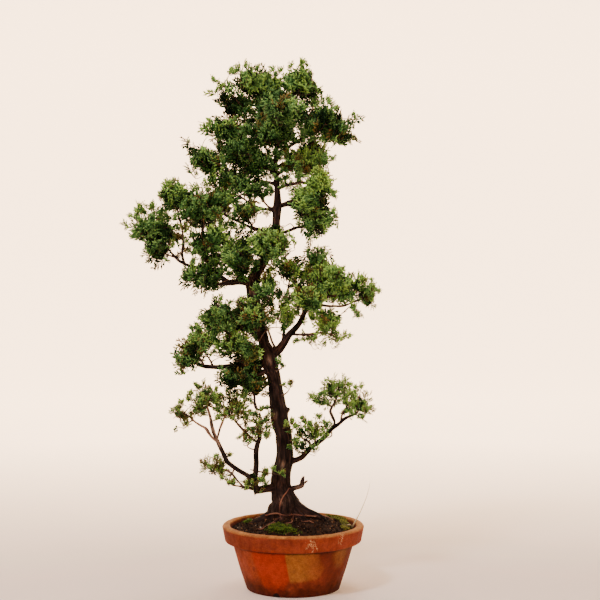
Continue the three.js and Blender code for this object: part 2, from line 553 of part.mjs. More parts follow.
// ---- Foliage: each cloud is a union of ellipsoids [x, y, z, rx, ry, rz] ---------------------------
const FOLIAGE = {
  crown_top_left: [LIME, [-55, -4, 644, 23, 22, 18], [-30, 6, 640, 20, 20, 16]],
  crown_top_right: [
    LIME, [9, 0, 640, 21, 21, 20], [9, 0, 657, 14, 12, 8], [26, 4, 626, 12, 14, 12],
  ],
  crown_spike_left: [
    GREEN, [-89, 0, 637, 12, 9, 9], [-78, 1, 622, 13, 12, 12], [-66, 3, 608, 14, 13, 11],
  ],
  crown_front: [DEEP, [-14, -42, 604, 27, 17, 20]],
  crown_heart: [DEEP, [-22, 2, 612, 29, 30, 26]],
  crown_middle: [DEEP, [-28, -6, 578, 31, 27, 20]],
  crown_back: [DEEP, [-30, 48, 630, 25, 19, 18], [-20, 46, 598, 29, 24, 24]],
  crown_shoulder_left: [GREEN, [-85, -7, 583, 27, 21, 14], [-108, -9, 591, 11, 8, 5]],
  crown_shoulder_right: [
    GREEN, [42, -5, 602, 19, 20, 16], [53, 0, 582, 21, 20, 15], [22, -4, 592, 16, 18, 20],
    [69, -2, 597, 10, 8, 6],
  ],
  crown_tier_left: [GREEN, [-111, 4, 543, 26, 23, 16], [-128, 0, 552, 9, 8, 8]],
  crown_tier_inner: [
    DEEP, [-66, -11, 556, 25, 21, 17], [-69, 18, 560, 22, 22, 16], [-70, 42, 562, 23, 19, 16],
    [-44, 1, 538, 19, 17, 10],
  ],
  crown_rusty: [RUSTY, [12, 8, 544, 28, 25, 18], [24, 42, 557, 22, 24, 17]],
  crown_low_left: [DEEP, [-78, 9, 520, 23, 22, 11], [-50, 3, 508, 18, 16, 9]],
  plume_right: [
    LIME, [36, -8, 520, 13, 16, 17], [23, -9, 492, 27, 22, 22], [34, -8, 469, 15, 18, 17],
    [26, -8, 454, 10, 10, 11], [19, 30, 489, 22, 25, 20],
  ],
  far_left_top: [LIME, [-148, 0, 496, 21, 21, 18], [-153, 0, 511, 13, 12, 8]],
  far_left_tip: [
    GREEN, [-185, 0, 464, 20, 19, 21], [-170, -1, 433, 19, 17, 18], [-160, 0, 456, 17, 16, 16],
  ],
  left_cloud: [
    GREEN, [-113, -9, 485, 26, 23, 22], [-87, 7, 498, 14, 18, 18], [-120, 35, 480, 25, 27, 19],
  ],
  left_inner: [GREEN, [-113, -13, 432, 17, 15, 15], [-100, -10, 453, 14, 13, 13]],
  left_under: [DEEP, [-115, 0, 395, 27, 20, 16]],
  elbow_face: [GREEN, [-75, -17, 426, 16, 17, 24], [-62, -8, 412, 14, 14, 15]],
  elbow_back: [DEEP, [-78, 41, 430, 24, 19, 19]],
  bend_face: [LIME, [-30, -29, 436, 25, 18, 23], [-11, -28, 446, 12, 10, 9]],
  bend_back: [DEEP, [-29, 42, 441, 25, 18, 19]],
  sweep_rusty: [RUSTY, [-61, -3, 480, 19, 16, 13]],
  right_face: [LIME, [18, -21, 371, 26, 19, 18]],
  right_cloud: [
    GREEN, [45, -1, 399, 25, 22, 15], [20, 4, 404, 14, 14, 12], [57, -1, 378, 16, 16, 12],
  ],
  right_riser: [GREEN, [-2, 0, 405, 14, 14, 18]],
  right_plume: [DEEP, [29, 9, 424, 14, 11, 9]],
  right_tip: [GREEN, [80, -1, 387, 20, 18, 12], [95, 0, 372, 14, 14, 14], [103, 0, 381, 8, 8, 7]],
  right_back: [DEEP, [35, 43, 386, 27, 20, 17]],
  right_low: [GREEN, [43, -5, 342, 17, 14, 12]],
  right_hanging: [RUSTY, [54, -2, 320, 14, 9, 7], [24, -3, 317, 24, 8, 6]],
  riser_thin: [RUSTY, [-12, -1, 350, 11, 10, 28]],
  tuft_thin: [RUSTY, [-32, -11, 385, 13, 12, 18]],
  face_left: [LIME, [-48, -25, 346, 20, 16, 17], [-62, -14, 361, 15, 14, 13]],
  shoulder_left: [GREEN, [-95, -4, 345, 23, 22, 22], [-97, -4, 367, 8, 8, 7]],
  middle_left: [DEEP, [-120, 4, 316, 24, 21, 16], [-140, 1, 292, 15, 14, 15]],
  middle_heart: [DEEP, [-74, -4, 316, 22, 20, 17], [-55, -6, 299, 20, 16, 12]],
  middle_back: [DEEP, [-76, 44, 336, 25, 20, 18]],
  shade_left: [
    DEEP, [-71, -4, 272, 25, 19, 14], [-48, -8, 265, 16, 14, 12], [-58, 36, 278, 22, 28, 14],
  ],
  low_left_top: [GREEN, [-113, -5, 246, 18, 16, 13], [-119, -7, 230, 11, 11, 10]],
  low_left_tip: [GREEN, [-137, -13, 216, 10, 9, 9], [-145, -10, 225, 12, 9, 8]],
  low_left_inner: [GREEN, [-73, 2, 232, 21, 16, 16]],
  low_stem: [GREEN, [-46, -10, 206, 14.5, 12, 17]],
  low_left_fringe: [GREEN, [-98, -7, 154, 15, 13, 13]],
  low_left_skirt: [GREEN, [-52, -13, 137, 16, 11, 8]],
  low_right_top: [LIME, [57, 3, 252, 22, 18, 16], [34, 3, 243, 15, 13, 9]],
  low_right_tip: [GREEN, [84, 2, 236, 17, 16, 15]],
  low_right_inner: [
    GREEN, [24, -6, 200, 20, 13, 10], [7, -8, 189, 9, 8, 9], [8, -8, 206, 11, 8, 8],
  ],
};

// Each cloud is cut clear of the wood and of the clouds placed before it.
const clouds = [];
for (const [name, [colour, ...lobes]] of Object.entries(FOLIAGE)) {
  let cloud = union(lobes.map((lobe) => ellipsoid(lobe))).subtract(woodSpace);
  for (const earlier of clouds) cloud = cloud.subtract(earlier);
  addPiece(`foliage_${name}`, mainBody(cloud), colour);
  clouds.push(union(lobes.map((lobe) => ellipsoid(lobe, GAP))));
}

export default bonsai;
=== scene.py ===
"""A hinoki cypress bonsai in a round clay pot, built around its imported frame. Metres, +Z up.

The wood, the fine twigs and the thousands of leafy sprays are grown in mesh code, because
their shapes follow routes and surfaces that no primitive has. The pot, the soil, the moss
and the stage are modelled from primitives and spun profiles.
"""
import functools
import json
import math
import zlib

import bmesh
import bpy
import numpy as np
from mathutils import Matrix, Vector
from mathutils.bvhtree import BVHTree


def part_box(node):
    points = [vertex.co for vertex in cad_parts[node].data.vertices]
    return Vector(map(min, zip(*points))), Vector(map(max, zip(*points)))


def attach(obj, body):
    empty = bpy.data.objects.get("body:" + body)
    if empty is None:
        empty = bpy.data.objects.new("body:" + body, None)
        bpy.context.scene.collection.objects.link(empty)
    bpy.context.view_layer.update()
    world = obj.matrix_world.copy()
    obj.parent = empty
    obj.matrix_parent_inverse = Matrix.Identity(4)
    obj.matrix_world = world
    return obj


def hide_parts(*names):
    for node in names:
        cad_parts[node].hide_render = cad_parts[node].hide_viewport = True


bl_info = {
    "name": "Hinoki cypress bonsai",
    "version": (1, 0, 0),
    "blender": (4, 5, 0),
    "location": "View3D > Sidebar > Bonsai",
    "description": "Builds a hinoki cypress bonsai in a clay pot around its packed frame",
    "category": "Add Mesh",
}

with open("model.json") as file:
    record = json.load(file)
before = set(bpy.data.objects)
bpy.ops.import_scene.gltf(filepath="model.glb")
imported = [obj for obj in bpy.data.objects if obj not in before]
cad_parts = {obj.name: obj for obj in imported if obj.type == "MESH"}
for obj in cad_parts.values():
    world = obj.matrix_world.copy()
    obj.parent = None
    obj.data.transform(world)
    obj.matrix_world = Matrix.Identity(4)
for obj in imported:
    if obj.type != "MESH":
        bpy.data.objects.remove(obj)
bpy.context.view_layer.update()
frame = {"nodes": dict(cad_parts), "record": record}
MM = 0.001
UP = np.array((0.0, 0.0, 1.0))
VIEWPOINT = np.array((8.7, -1850.0, 427.5)) * MM
SAME_PLACE = 1e-6  # points nearer than this are one, and lengths below it count as none
CREASE = math.radians(40)  # edges that turn further than this stay sharp
WANDER = 0.03  # the width of the band in which a stain's outline wanders
GLOSS = "Specular IOR Level"  # the socket for how strongly a surface shines

# ---- Routes of the wood ----
# Each limb is a list of points (x, y, z, radius) in millimetres, from the trunk outwards.
TRUNK = [
    (-12, 0, 62, 22), (-12, 0, 84, 21), (-11.5, 0, 97, 18.5), (-11, 0, 110, 15.5), (-13.5, 0, 120, 13),
    (-15.5, 0, 132, 12), (-14.8, -1, 146, 11.2), (-11.7, -2, 162, 10.4), (-11.2, -3, 178, 9.8),
    (-12, -3, 194, 9.6), (-15.5, -3, 210, 10.6), (-17.5, -2, 221, 10.4), (-20, 0, 236, 9.5),
    (-21.5, 1, 250, 8.8), (-22.8, 2, 262, 7.8), (-25.5, 3, 276, 8.2), (-29.5, 4, 290, 9.4),
    (-33, 5, 300, 8.6), (-37, 6, 311, 6.4), (-39, 7, 324, 6), (-42, 8, 338, 6), (-46.5, 8, 354, 6.5),
    (-50, 8, 370, 7), (-51.2, 7, 386, 7.4), (-48.5, 5, 399, 6.6), (-41, 3, 410, 6), (-33, 1, 421, 5.5),
    (-26, 0, 436, 5), (-22, -1, 452, 4.5), (-21.2, -1, 468, 4.2), (-20.3, 0, 482, 4.9),
    (-19.5, 1, 494, 4.2), (-19.5, 2, 506, 3), (-21, 3, 525, 2.7), (-22, 4, 550, 2.4), (-21, 4, 580, 2.1),
    (-22, 3, 610, 1.7), (-26, 2, 634, 1.3),
]
ROOTS = [
    [(-6, -2, 111, 9), (4, -4, 103, 8.4), (15, -6, 97.5, 6), (28, -9, 94, 4.4), (41, -12, 86, 3),
     (50, -14, 76, 2)],
    [(-18, -2, 104, 8), (-26, -3, 95, 6), (-36, -5, 90.5, 4.4), (-48, -8, 84, 3.2), (-56, -10, 74, 2.4)],
    [(-12, -5, 104, 8), (-12, -14, 94, 5.5), (-14, -26, 88.5, 4), (-17, -40, 82, 3), (-18, -48, 73, 2.2)],
    [(-6, -5, 104, 8), (4, -13, 96, 6), (14, -22, 89.5, 4.6), (25, -33, 82, 3.2), (31, -41, 72, 2)],
    [(-14, 6, 102, 8), (-21, 15, 94, 5.5), (-31, 26, 88.5, 4.2), (-44, 38, 80, 3), (-50, 44, 70, 2)],
    [(-6, 6, 107, 8.5), (2, 15, 97, 7), (10, 27, 89, 4.6), (19, 40, 79, 3), (23, 47, 70, 2)],
]
LOW_LIMBS = [
    [(-20, -3, 128, 5.5), (-33, -7, 127.5, 4.6), (-41, -9, 127, 4.4), (-46.5, -10, 125.5, 4),
     (-48, -10, 123.5, 3)],
    [(-44, -10, 125, 3.6), (-47.5, -11, 134, 3.2), (-47.5, -12, 146, 3), (-47.3, -13, 160, 2.9),
     (-47, -13, 174, 2.8), (-44.5, -12, 186, 2.7), (-42, -11, 193, 2.2), (-43, -10, 203, 1.7),
     (-46, -10, 213, 1.3)],
    [(-47, -12, 138, 2.6), (-57, -14, 145, 2.5), (-66, -15, 151, 2.4), (-75, -16, 157, 2.4),
     (-83, -17, 163, 2.5), (-87.5, -17, 170.5, 2.4), (-92.5, -17, 180.5, 2.3), (-97, -16, 190.5, 2.2),
     (-101, -15, 200, 1.9), (-104, -13, 212, 1.7), (-106, -11, 224, 1.5), (-109, -9, 234, 1.3),
     (-112, -7, 245, 1.1)],
    [(-95, -17, 187, 1.8), (-102, -18, 193, 1.7), (-106.5, -19, 200, 1.6), (-110, -20, 206, 1.5),
     (-117, -20, 209.5, 1.4), (-124, -19, 215, 1.2), (-129, -16, 219, 1.1), (-137, -12, 223, 1),
     (-145, -9, 226, 0.9)],
    [(-97, -16, 189, 1.5), (-94, -14, 200, 1.3), (-91, -11, 210, 1.2), (-87, -7, 219, 1.1),
     (-80, -3, 228, 0.9)],
    [(-44.5, -12, 187, 1.8), (-55, -9, 194, 1.5), (-62, -7, 200, 1.4), (-69, -5, 208, 1.3),
     (-75, -3, 214.5, 1.2), (-81, 0, 219, 1.1), (-80, 3, 230, 0.9)],
    [(-46, -11, 127, 2), (-58, -14, 130, 1.4), (-68, -17, 132, 1.1), (-77, -18, 133.5, 0.9)],
    [(-62, -15, 131, 1.3), (-73, -14, 142, 1.2), (-81, -12, 150, 1.1), (-89, -9, 153, 1),
     (-98, -6, 155, 0.9)],
    [(-10, -1, 158, 4.4), (2, -2, 163.5, 3.3), (11, -3, 168, 3), (18, -4, 174.5, 2.8), (23, -4, 180, 2.7),
     (31, -5, 185.5, 2.5), (40, -5, 193, 2.5), (48, -5, 201, 2.4), (56, -4, 208.5, 2.1),
     (63, -3, 214, 1.9), (71, -2, 218.5, 1.6), (80, 0, 222, 1.3), (87, 2, 230, 1)],
    [(49, -5, 201, 1.8), (52, -3, 211, 1.6), (49, -1, 220, 1.5), (47, 0, 226, 1.5), (50, 2, 232, 1.4),
     (54, 3, 240, 1.2), (57, 4, 249, 0.9)],
    [(49.5, 2, 231, 1.3), (43, 3, 234, 1.1), (36, 3, 237, 1), (31, 3, 241, 0.8)],
    [(60, -3, 212, 1.3), (62, 0, 221, 1.1), (66, 3, 229, 1), (73, 4, 237, 0.8)],
    [(23, -4, 180, 1.7), (20, -6, 187, 1.3), (12, -7, 192, 1.1), (5, -8, 197, 0.9)],
    [(46, -5, 199, 1.2), (42, -6, 205, 1), (34, -7, 206, 0.9), (27, -6, 203, 0.8)],
    [(-7, -4, 125, 4.4), (1, -6, 128, 2.9), (8, -7, 130, 2.7), (12, -7, 132, 2.9), (12.5, -7, 136.5, 2.3),
     (13.2, -7, 142, 1.1)],
    [(10, -7, 131, 2.2), (15, -7.5, 134.5, 1.7), (18.5, -8, 137, 1)],
    [(-15, -1, 226, 6), (-8.5, -2, 227.5, 4), (-6, -2, 229, 2.6)],
]
MIDDLE_LIMBS = [
    [(-23, -5, 232, 2.2), (-35, -8, 231, 1.2), (-44, -9, 228.5, 1.4), (-49, -9, 236, 1.7),
     (-50, -8, 247, 1.6), (-55, -7, 256, 1.5), (-62, -5, 265, 1.3), (-69, -4, 273, 1)],
    [(-29, 4, 282, 4.6), (-42, 3, 285, 3.3), (-56, 3, 284.5, 3), (-74, 3, 283, 2.7), (-90, 3, 281.5, 2.5),
     (-103, 4, 281, 2.3), (-113, 5, 282, 2), (-122, 5, 285, 1.8), (-129, 4, 287, 1.5),
     (-135, 2, 284.5, 1.2), (-142, 1, 288, 0.9)],
    [(-102, 4, 281.5, 1.5), (-106, 6, 290, 1.2), (-112, 8, 300, 1.1), (-118, 7, 310, 1),
     (-124, 5, 318, 0.8)],
    [(-113, 5, 282, 1.4), (-117, 4, 291, 1.1), (-123, 3, 299, 1), (-130, 2, 307, 0.8)],
    [(-55, 3, 284.5, 2.3), (-62, 2, 296, 1.9), (-70, 0, 307, 1.6), (-78, -2, 319, 1.4),
     (-88, -3, 332, 1.2), (-95, -4, 346, 0.9)],
    [(-30, 1, 279, 3), (-45, -5, 272, 1.9), (-58, -7, 270, 1.5), (-73, -5, 272, 1)],
    [(-41, 7, 335, 3.4), (-52, 2, 338, 2.3), (-64, -2, 341, 1.8), (-78, -3, 345, 1.5),
     (-91, -4, 352, 1.2), (-97, -4, 363, 0.8)],
    [(-43, 4, 344, 2.8), (-46, -8, 345, 1.9), (-48, -22, 347, 1.2)],
    [(-38, 8, 316, 3.6), (-48, 22, 321, 2.4), (-60, 34, 328, 1.8), (-72, 45, 335, 1.1)],
    [(-28, 5, 275, 3.6), (-38, 20, 274, 2.5), (-48, 34, 275, 1.9), (-58, 47, 278, 1.1)],
    [(-29, 4, 296, 6.4), (-20, 3, 303, 5.4), (-13, 0, 311, 4.6), (-7, -2, 320, 4), (0, -3, 327, 3.5),
     (6, -3, 334, 3), (12, -3, 344, 2.8), (17, -2, 354, 2.6), (25, -1, 361, 2.4), (33, 0, 367, 2.1),
     (42, 2, 375, 1.8), (48, 3, 386, 1.4), (52, 4, 397, 1)],
    [(-4, -3, 323, 2.2), (8, -4, 323, 1.5), (19, -4, 323.5, 1.4), (30, -4, 325, 1.3), (40, -3, 325, 1.1),
     (50, -2, 321.5, 0.9)],
    [(30, -4, 324.5, 1.5), (34, -5, 332, 1.1), (41, -5, 340, 0.8)],
    [(21, -1, 358, 2.1), (32, -4, 359.5, 1.6), (46, -5, 359, 1.4), (60, -4, 359.5, 1.3),
     (72, -3, 362, 1.2), (84, -1, 367, 1), (94, 0, 373, 0.8)],
    [(32, 0, 366.5, 1.8), (42, -2, 370, 1.5), (54, -3, 372.5, 1.3), (66, -2, 377, 1.1),
     (79, -1, 385, 0.8)],
    [(11, -3, 343, 2.2), (14, -10, 352, 1.8), (16, -17, 361, 1.4), (18, -22, 371, 1)],
    [(19, -1, 357, 2.2), (25, 14, 364, 1.8), (30, 28, 372, 1.4), (35, 41, 384, 1)],
    [(-13, 0, 311, 2.4), (-12, 2, 328, 1.7), (-12, 1, 345, 1.4), (-9, 0, 365, 1.2), (-5, 0, 386, 1),
     (-2, 0, 405, 0.8)],
    [(46, 3, 382, 1.4), (40, 6, 398, 1.1), (31, 9, 419, 0.8)],
    [(-22, 3, 303, 2.2), (-27, 0, 313, 1.4), (-30, -3, 322, 1.2), (-34, -7, 331, 1.1),
     (-42, -15, 339, 0.9)],
    [(-49, 6, 377, 2.6), (-42, -1, 380, 1.5), (-33, -9, 385, 0.9)],
]
UPPER_LIMBS = [
    [(-51, 7, 388, 5.4), (-62, 5, 390, 4.1), (-72, 3, 390, 3.6), (-82, 2, 389.5, 3.3), (-89, 1, 394, 2.8),
     (-96, 0, 399.5, 2.6), (-106, -1, 404, 2.4), (-118, -1, 407, 2.2), (-128, -1, 409, 2),
     (-136, 0, 412, 1.8), (-143, 0, 416.5, 1.6), (-150, 0, 422, 1.5), (-157, 0, 430, 1.3),
     (-166, 0, 441, 1.2), (-176, 0, 454, 1.1), (-185, 0, 466, 0.8)],
    [(-79, 2, 389, 2.4), (-92, 2, 386.5, 1.8), (-104, 1, 388, 1.5), (-116, 0, 394, 1)],
    [(-99, 0, 400.5, 2.3), (-106, -5, 412, 1.8), (-112, -10, 424, 1.6), (-114, -13, 438, 1.4),
     (-113, -12, 455, 1.2), (-112, -10, 473, 0.9)],
    [(-137, 0, 412, 1.8), (-140, 0, 426, 1.5), (-139, 1, 441, 1.4), (-141, 1, 458, 1.3),
     (-145, 0, 476, 1.2), (-149, 0, 495, 0.9)],
    [(-149, 0, 421, 1.4), (-158, -2, 424, 1.2), (-169, -2, 430, 0.8)],
    [(-67, 4, 390, 2.5), (-72, -3, 402, 1.9), (-74, -10, 413, 1.5), (-76, -17, 426, 1)],
    [(-61, 6, 390, 2.8), (-66, 17, 401, 2.1), (-71, 28, 412, 1.7), (-77, 39, 425, 1.1)],
    [(-105, -1, 403.5, 2.1), (-109, 10, 418, 1.8), (-112, 22, 436, 1.5), (-116, 32, 455, 1.2),
     (-119, 40, 474, 0.9)],
    [(-31, 1, 425, 3.2), (-32, -10, 431, 2), (-31, -20, 436, 1.5), (-30, -28, 441, 1)],
    [(-27, 1, 434, 3.2), (-28, 16, 437, 2.1), (-29, 30, 440, 1.6), (-30, 41, 443, 1)],
    [(-22, -1, 452, 3.2), (-36, 0, 453, 2.3), (-50, 0, 457.5, 2), (-61, -1, 461.5, 1.8),
     (-71, -2, 466.5, 1.6), (-82, -3, 472, 1.4), (-94, -6, 479, 1.2), (-107, -9, 486, 0.9)],
    [(-51, 0, 458, 1.6), (-57, -2, 468, 1.2), (-62, -4, 480, 0.8)],
    [(-21, 0, 481, 3.2), (-32, 0, 481.5, 2), (-43, -1, 482.5, 1.7), (-50, -2, 487, 1.5),
     (-58, -3, 492, 1.3), (-67, -1, 497, 1.2), (-77, 3, 500, 1), (-86, 7, 502, 0.8)],
    [(-23, 0, 481, 2), (-31, 1, 484.5, 1.3), (-37, 1, 491, 1.1), (-42, 0, 498, 1), (-48, 0, 506, 0.8)],
    [(-19.5, 1, 487, 2.4), (-9, -1, 490, 1.7), (2, -4, 491.5, 1.4), (14, -8, 494, 1.2),
     (25, -10, 498, 0.8)],
    [(-22, -1, 447, 3.2), (-12, -3, 452, 2), (-3, -5, 455.5, 1.8), (5, -6, 458, 1.7),
     (14, -7, 459.5, 1.5), (22, -8, 464, 1.3), (31, -8, 473, 0.9)],
    [(-20, 2, 485, 2.4), (-8, 12, 487, 1.8), (8, 25, 488, 1.2)],
]
CROWN_LIMBS = [
    [(-22, 4, 548, 2.2), (-8, 3, 558, 1.8), (8, 2, 568, 1.6), (24, 0, 576, 1.4), (40, -3, 585, 1.2),
     (55, -3, 593, 0.8)],
    [(-21, 3, 524, 2.4), (-12, 4, 530, 1.8), (-2, 6, 538, 1.5), (11, 9, 546, 1)],
    [(-19.5, 2, 507, 2.2), (-8, 0, 512, 1.6), (6, -3, 514, 1.4), (20, -6, 516, 1.2), (35, -8, 520, 0.8)],
    [(-21, 3, 529, 2.6), (-36, 4, 535, 2.3), (-52, 5, 538, 2), (-70, 5, 540, 1.8), (-88, 5, 542, 1.5),
     (-106, 5, 545, 1.2), (-122, 2, 548, 0.8)],
    [(-49, 5, 537.5, 1.8), (-56, -2, 545, 1.4), (-65, -10, 555, 0.9)],
    [(-20, 2, 513, 2.4), (-34, 4, 516, 1.7), (-50, 7, 517, 1.5), (-64, 9, 519, 1.2), (-79, 10, 520, 0.8)],
    [(-21, 4, 571, 2.1), (-36, 1, 574, 1.7), (-54, -3, 577, 1.5), (-72, -6, 581, 1.2),
     (-89, -8, 586, 0.8)],
    [(-21.5, 3, 591, 1.9), (-34, 3, 597, 1.6), (-50, 4, 602, 1.4), (-64, 4, 609, 1.2), (-76, 2, 622, 1),
     (-89, 0, 638, 0.8)],
    [(-24, 3, 621, 1.6), (-36, 2, 630, 1.4), (-46, 0, 638, 1.2), (-56, -3, 648, 0.8)],
    [(-22, 3, 605, 1.8), (-12, 2, 615, 1.5), (-2, 1, 626, 1.3), (6, 0, 638, 1.1), (9, 0, 653, 0.8)],
    [(-21.5, 4, 569, 2.3), (-21, 18, 576, 1.8), (-20, 31, 583, 1.2)],
    [(-22, 3, 603, 1.9), (-24, 20, 613, 1.5), (-28, 36, 623, 1)],
    [(-21.5, 3, 584, 2), (-20, -14, 591, 1.5), (-17, -30, 599, 1)],
    [(-22, 4, 541, 2.4), (-36, 15, 547, 1.8), (-54, 28, 554, 1.2)],
    [(-21, 3, 533, 2.4), (-10, 18, 541, 1.7), (8, 34, 550, 1.1)],
]
# Twigs too fine for the frame: short stubs, hooks and the carriers of small tufts.
FINE_LIMBS = [
    [(-46, -11, 150, 1.6), (-50, -14, 152, 1.1), (-54, -16, 153.5, 0.5)],
    [(-46, -13, 177, 1.1), (-53, -15, 179, 0.9), (-58, -16, 183, 0.8), (-56, -16, 187, 0.7),
     (-52, -15, 190, 0.6), (-47, -14, 191, 0.4)],
    [(-71, -5, 209, 1), (-66, -9, 210, 0.7), (-60, -12, 215, 0.4)],
    [(48, -5, 201, 1.4), (50, -9, 196, 1), (45, -12, 193, 0.8), (42, -13, 192, 0.5)],
    [(-12, -8, 190, 1.2), (-2, -12, 190, 0.8), (5, -13, 199, 0.4)],
    [(12, -7, 138, 1.5), (14, -8, 141, 0.9), (14.5, -8, 143.5, 0.3)],
    [(-18, -2, 246, 2), (-12, -9, 247, 1), (-7, -11, 252, 0.8), (-4, -12, 258, 0.4)],
    [(-24, 0, 275, 2), (-17, -8, 278, 0.9), (-12, -10, 283, 0.5)],
    [(-12, -8, 205, 2), (-13, -15, 206, 0.9), (-7, -18, 208, 0.5)],
    [(-46, -12, 150, 1.3), (-33, -17, 150, 0.8), (-22, -20, 149, 0.6), (-15, -21, 147, 0.4)],
    [(27, -5, 183, 1.2), (30, -9, 198, 0.8), (33, -10, 214, 0.5)],
    [(30, -5, 185, 1.1), (24, -10, 200, 0.7), (16, -12, 211, 0.4)],
    [(-73, -16, 156, 1.2), (-78, -20, 146, 0.8), (-82, -21, 136, 0.5)],
    [(20, -1, 357, 1.2), (32, -8, 396, 0.7), (40, -9, 431, 0.4)],
    [(79, 1, 222, 1), (83, -3, 240, 0.7), (86, -4, 255, 0.4)],
    [(-138, 1, 286, 0.9), (-142, -2, 281, 0.7), (-141, -3, 272, 0.4)],
]
# Loose roots, as seen from the viewpoint: x and z on the plane y = 0, and the radius. The
# first hangs down the front of the trunk, and the others lie on the soil and the wood.
FRONT_ROOTS = [
    [(-5, 128, 0.7), (-8, 122, 0.7), (-12, 118, 0.75), (-15, 112, 0.75), (-17.5, 105, 0.7),
     (-17.5, 98, 0.7), (-16.5, 91, 0.65), (-14, 87, 0.5)],
    [(-37, 92, 0.9), (-28, 94, 0.9), (-20, 95, 0.9), (-14, 92.5, 0.85), (-6, 92, 0.85), (0, 93.5, 0.8),
     (8, 92.5, 0.8), (15, 92, 0.75), (30, 91, 0.6)],
    [(-46, 75, 0.9), (-40, 75, 1.1), (-33, 79, 1.1), (-26, 83, 1), (-20, 88, 0.9), (-15, 90, 0.8)],
    [(0, 93, 0.7), (0, 87, 0.7), (-1, 84, 0.7), (-4, 82, 0.65), (-8, 83, 0.6), (-10, 82, 0.4)],
    [(8, 86, 0.5), (14, 84, 0.6), (20, 85, 0.6), (27, 82, 0.4)],
]
# Loose roots behind the trunk: x, y and radius. They lie on what is below them.
REAR_ROOTS = [
    [(24, 12, 0.9), (34, 17, 0.9), (44, 22, 0.8), (53, 25, 0.6), (61, 31, 0.4)],
    [(-28, 16, 1), (-38, 17, 0.9), (-46, 20, 0.8), (-56, 26, 0.4)],
    [(-6, 22, 0.9), (-10, 32, 0.9), (-6, 42, 0.7), (-9, 52, 0.4)],
]
PALE_GRIT = [(-47, 79.5), (6, 78)]  # two pale grains, as seen from the viewpoint

# ---- Foliage tables ----
# For each look: how light the green is from 0 to 0.7, which is partly painted light and shade, the share
# of rusty or dead sprays, the plumes on each square centimetre, the length of a plume and of its sprays
# in millimetres, and the share of plumes inside the cloud, which are painted nearly black as shade.
LOOKS = {
    "sunlit": (0.52, 0.08, 0.64, 33, 19, 0.2),
    "bright": (0.46, 0.03, 0.66, 33, 19, 0.4),
    "green": (0.38, 0.04, 0.64, 33, 19, 0.4),
    "faded": (0.4, 0.24, 0.64, 33, 18, 0.35),
    "deep": (0.26, 0.03, 0.58, 34, 19, 0.15),
    "shady": (0.12, 0.2, 0.58, 34, 19, 0.35),
    "rusty": (0.36, 0.17, 0.7, 29, 16, 0.4),
    "sparse": (0.58, 0.08, 0.6, 26, 12.5, 0.15),
    "olive": (0.5, 0.48, 0.6, 26, 12.5, 0.15),
}
# The looks are partly painted light: sunlit and bright clouds are painted lighter green, and deep and
# shady ones, which stand inside, behind and under others, darker as painted shade.
FOLIAGE = {
    "sunlit": "right_cloud right_riser right_low right_face",
    "bright": (
        "crown_top_left crown_top_right crown_shoulder_left plume_right far_left_top "
        "bend_face"
    ),
    "green": (
        "crown_spike_left crown_shoulder_right crown_tier_left crown_front far_left_tip "
        "left_cloud left_inner right_plume right_back shoulder_left elbow_face"
    ),
    "faded": "middle_left face_left middle_heart",
    "deep": (
        "crown_heart crown_middle crown_back crown_tier_inner crown_low_left left_under "
        "elbow_back bend_back"
    ),
    "shady": "middle_back shade_left",
    "rusty": "crown_rusty sweep_rusty tuft_thin",
    "sparse": "low_right_top low_right_tip low_right_inner right_tip right_hanging riser_thin",
    "olive": (
        "low_left_top low_left_tip low_left_inner low_stem low_left_fringe low_left_skirt"
    ),
}
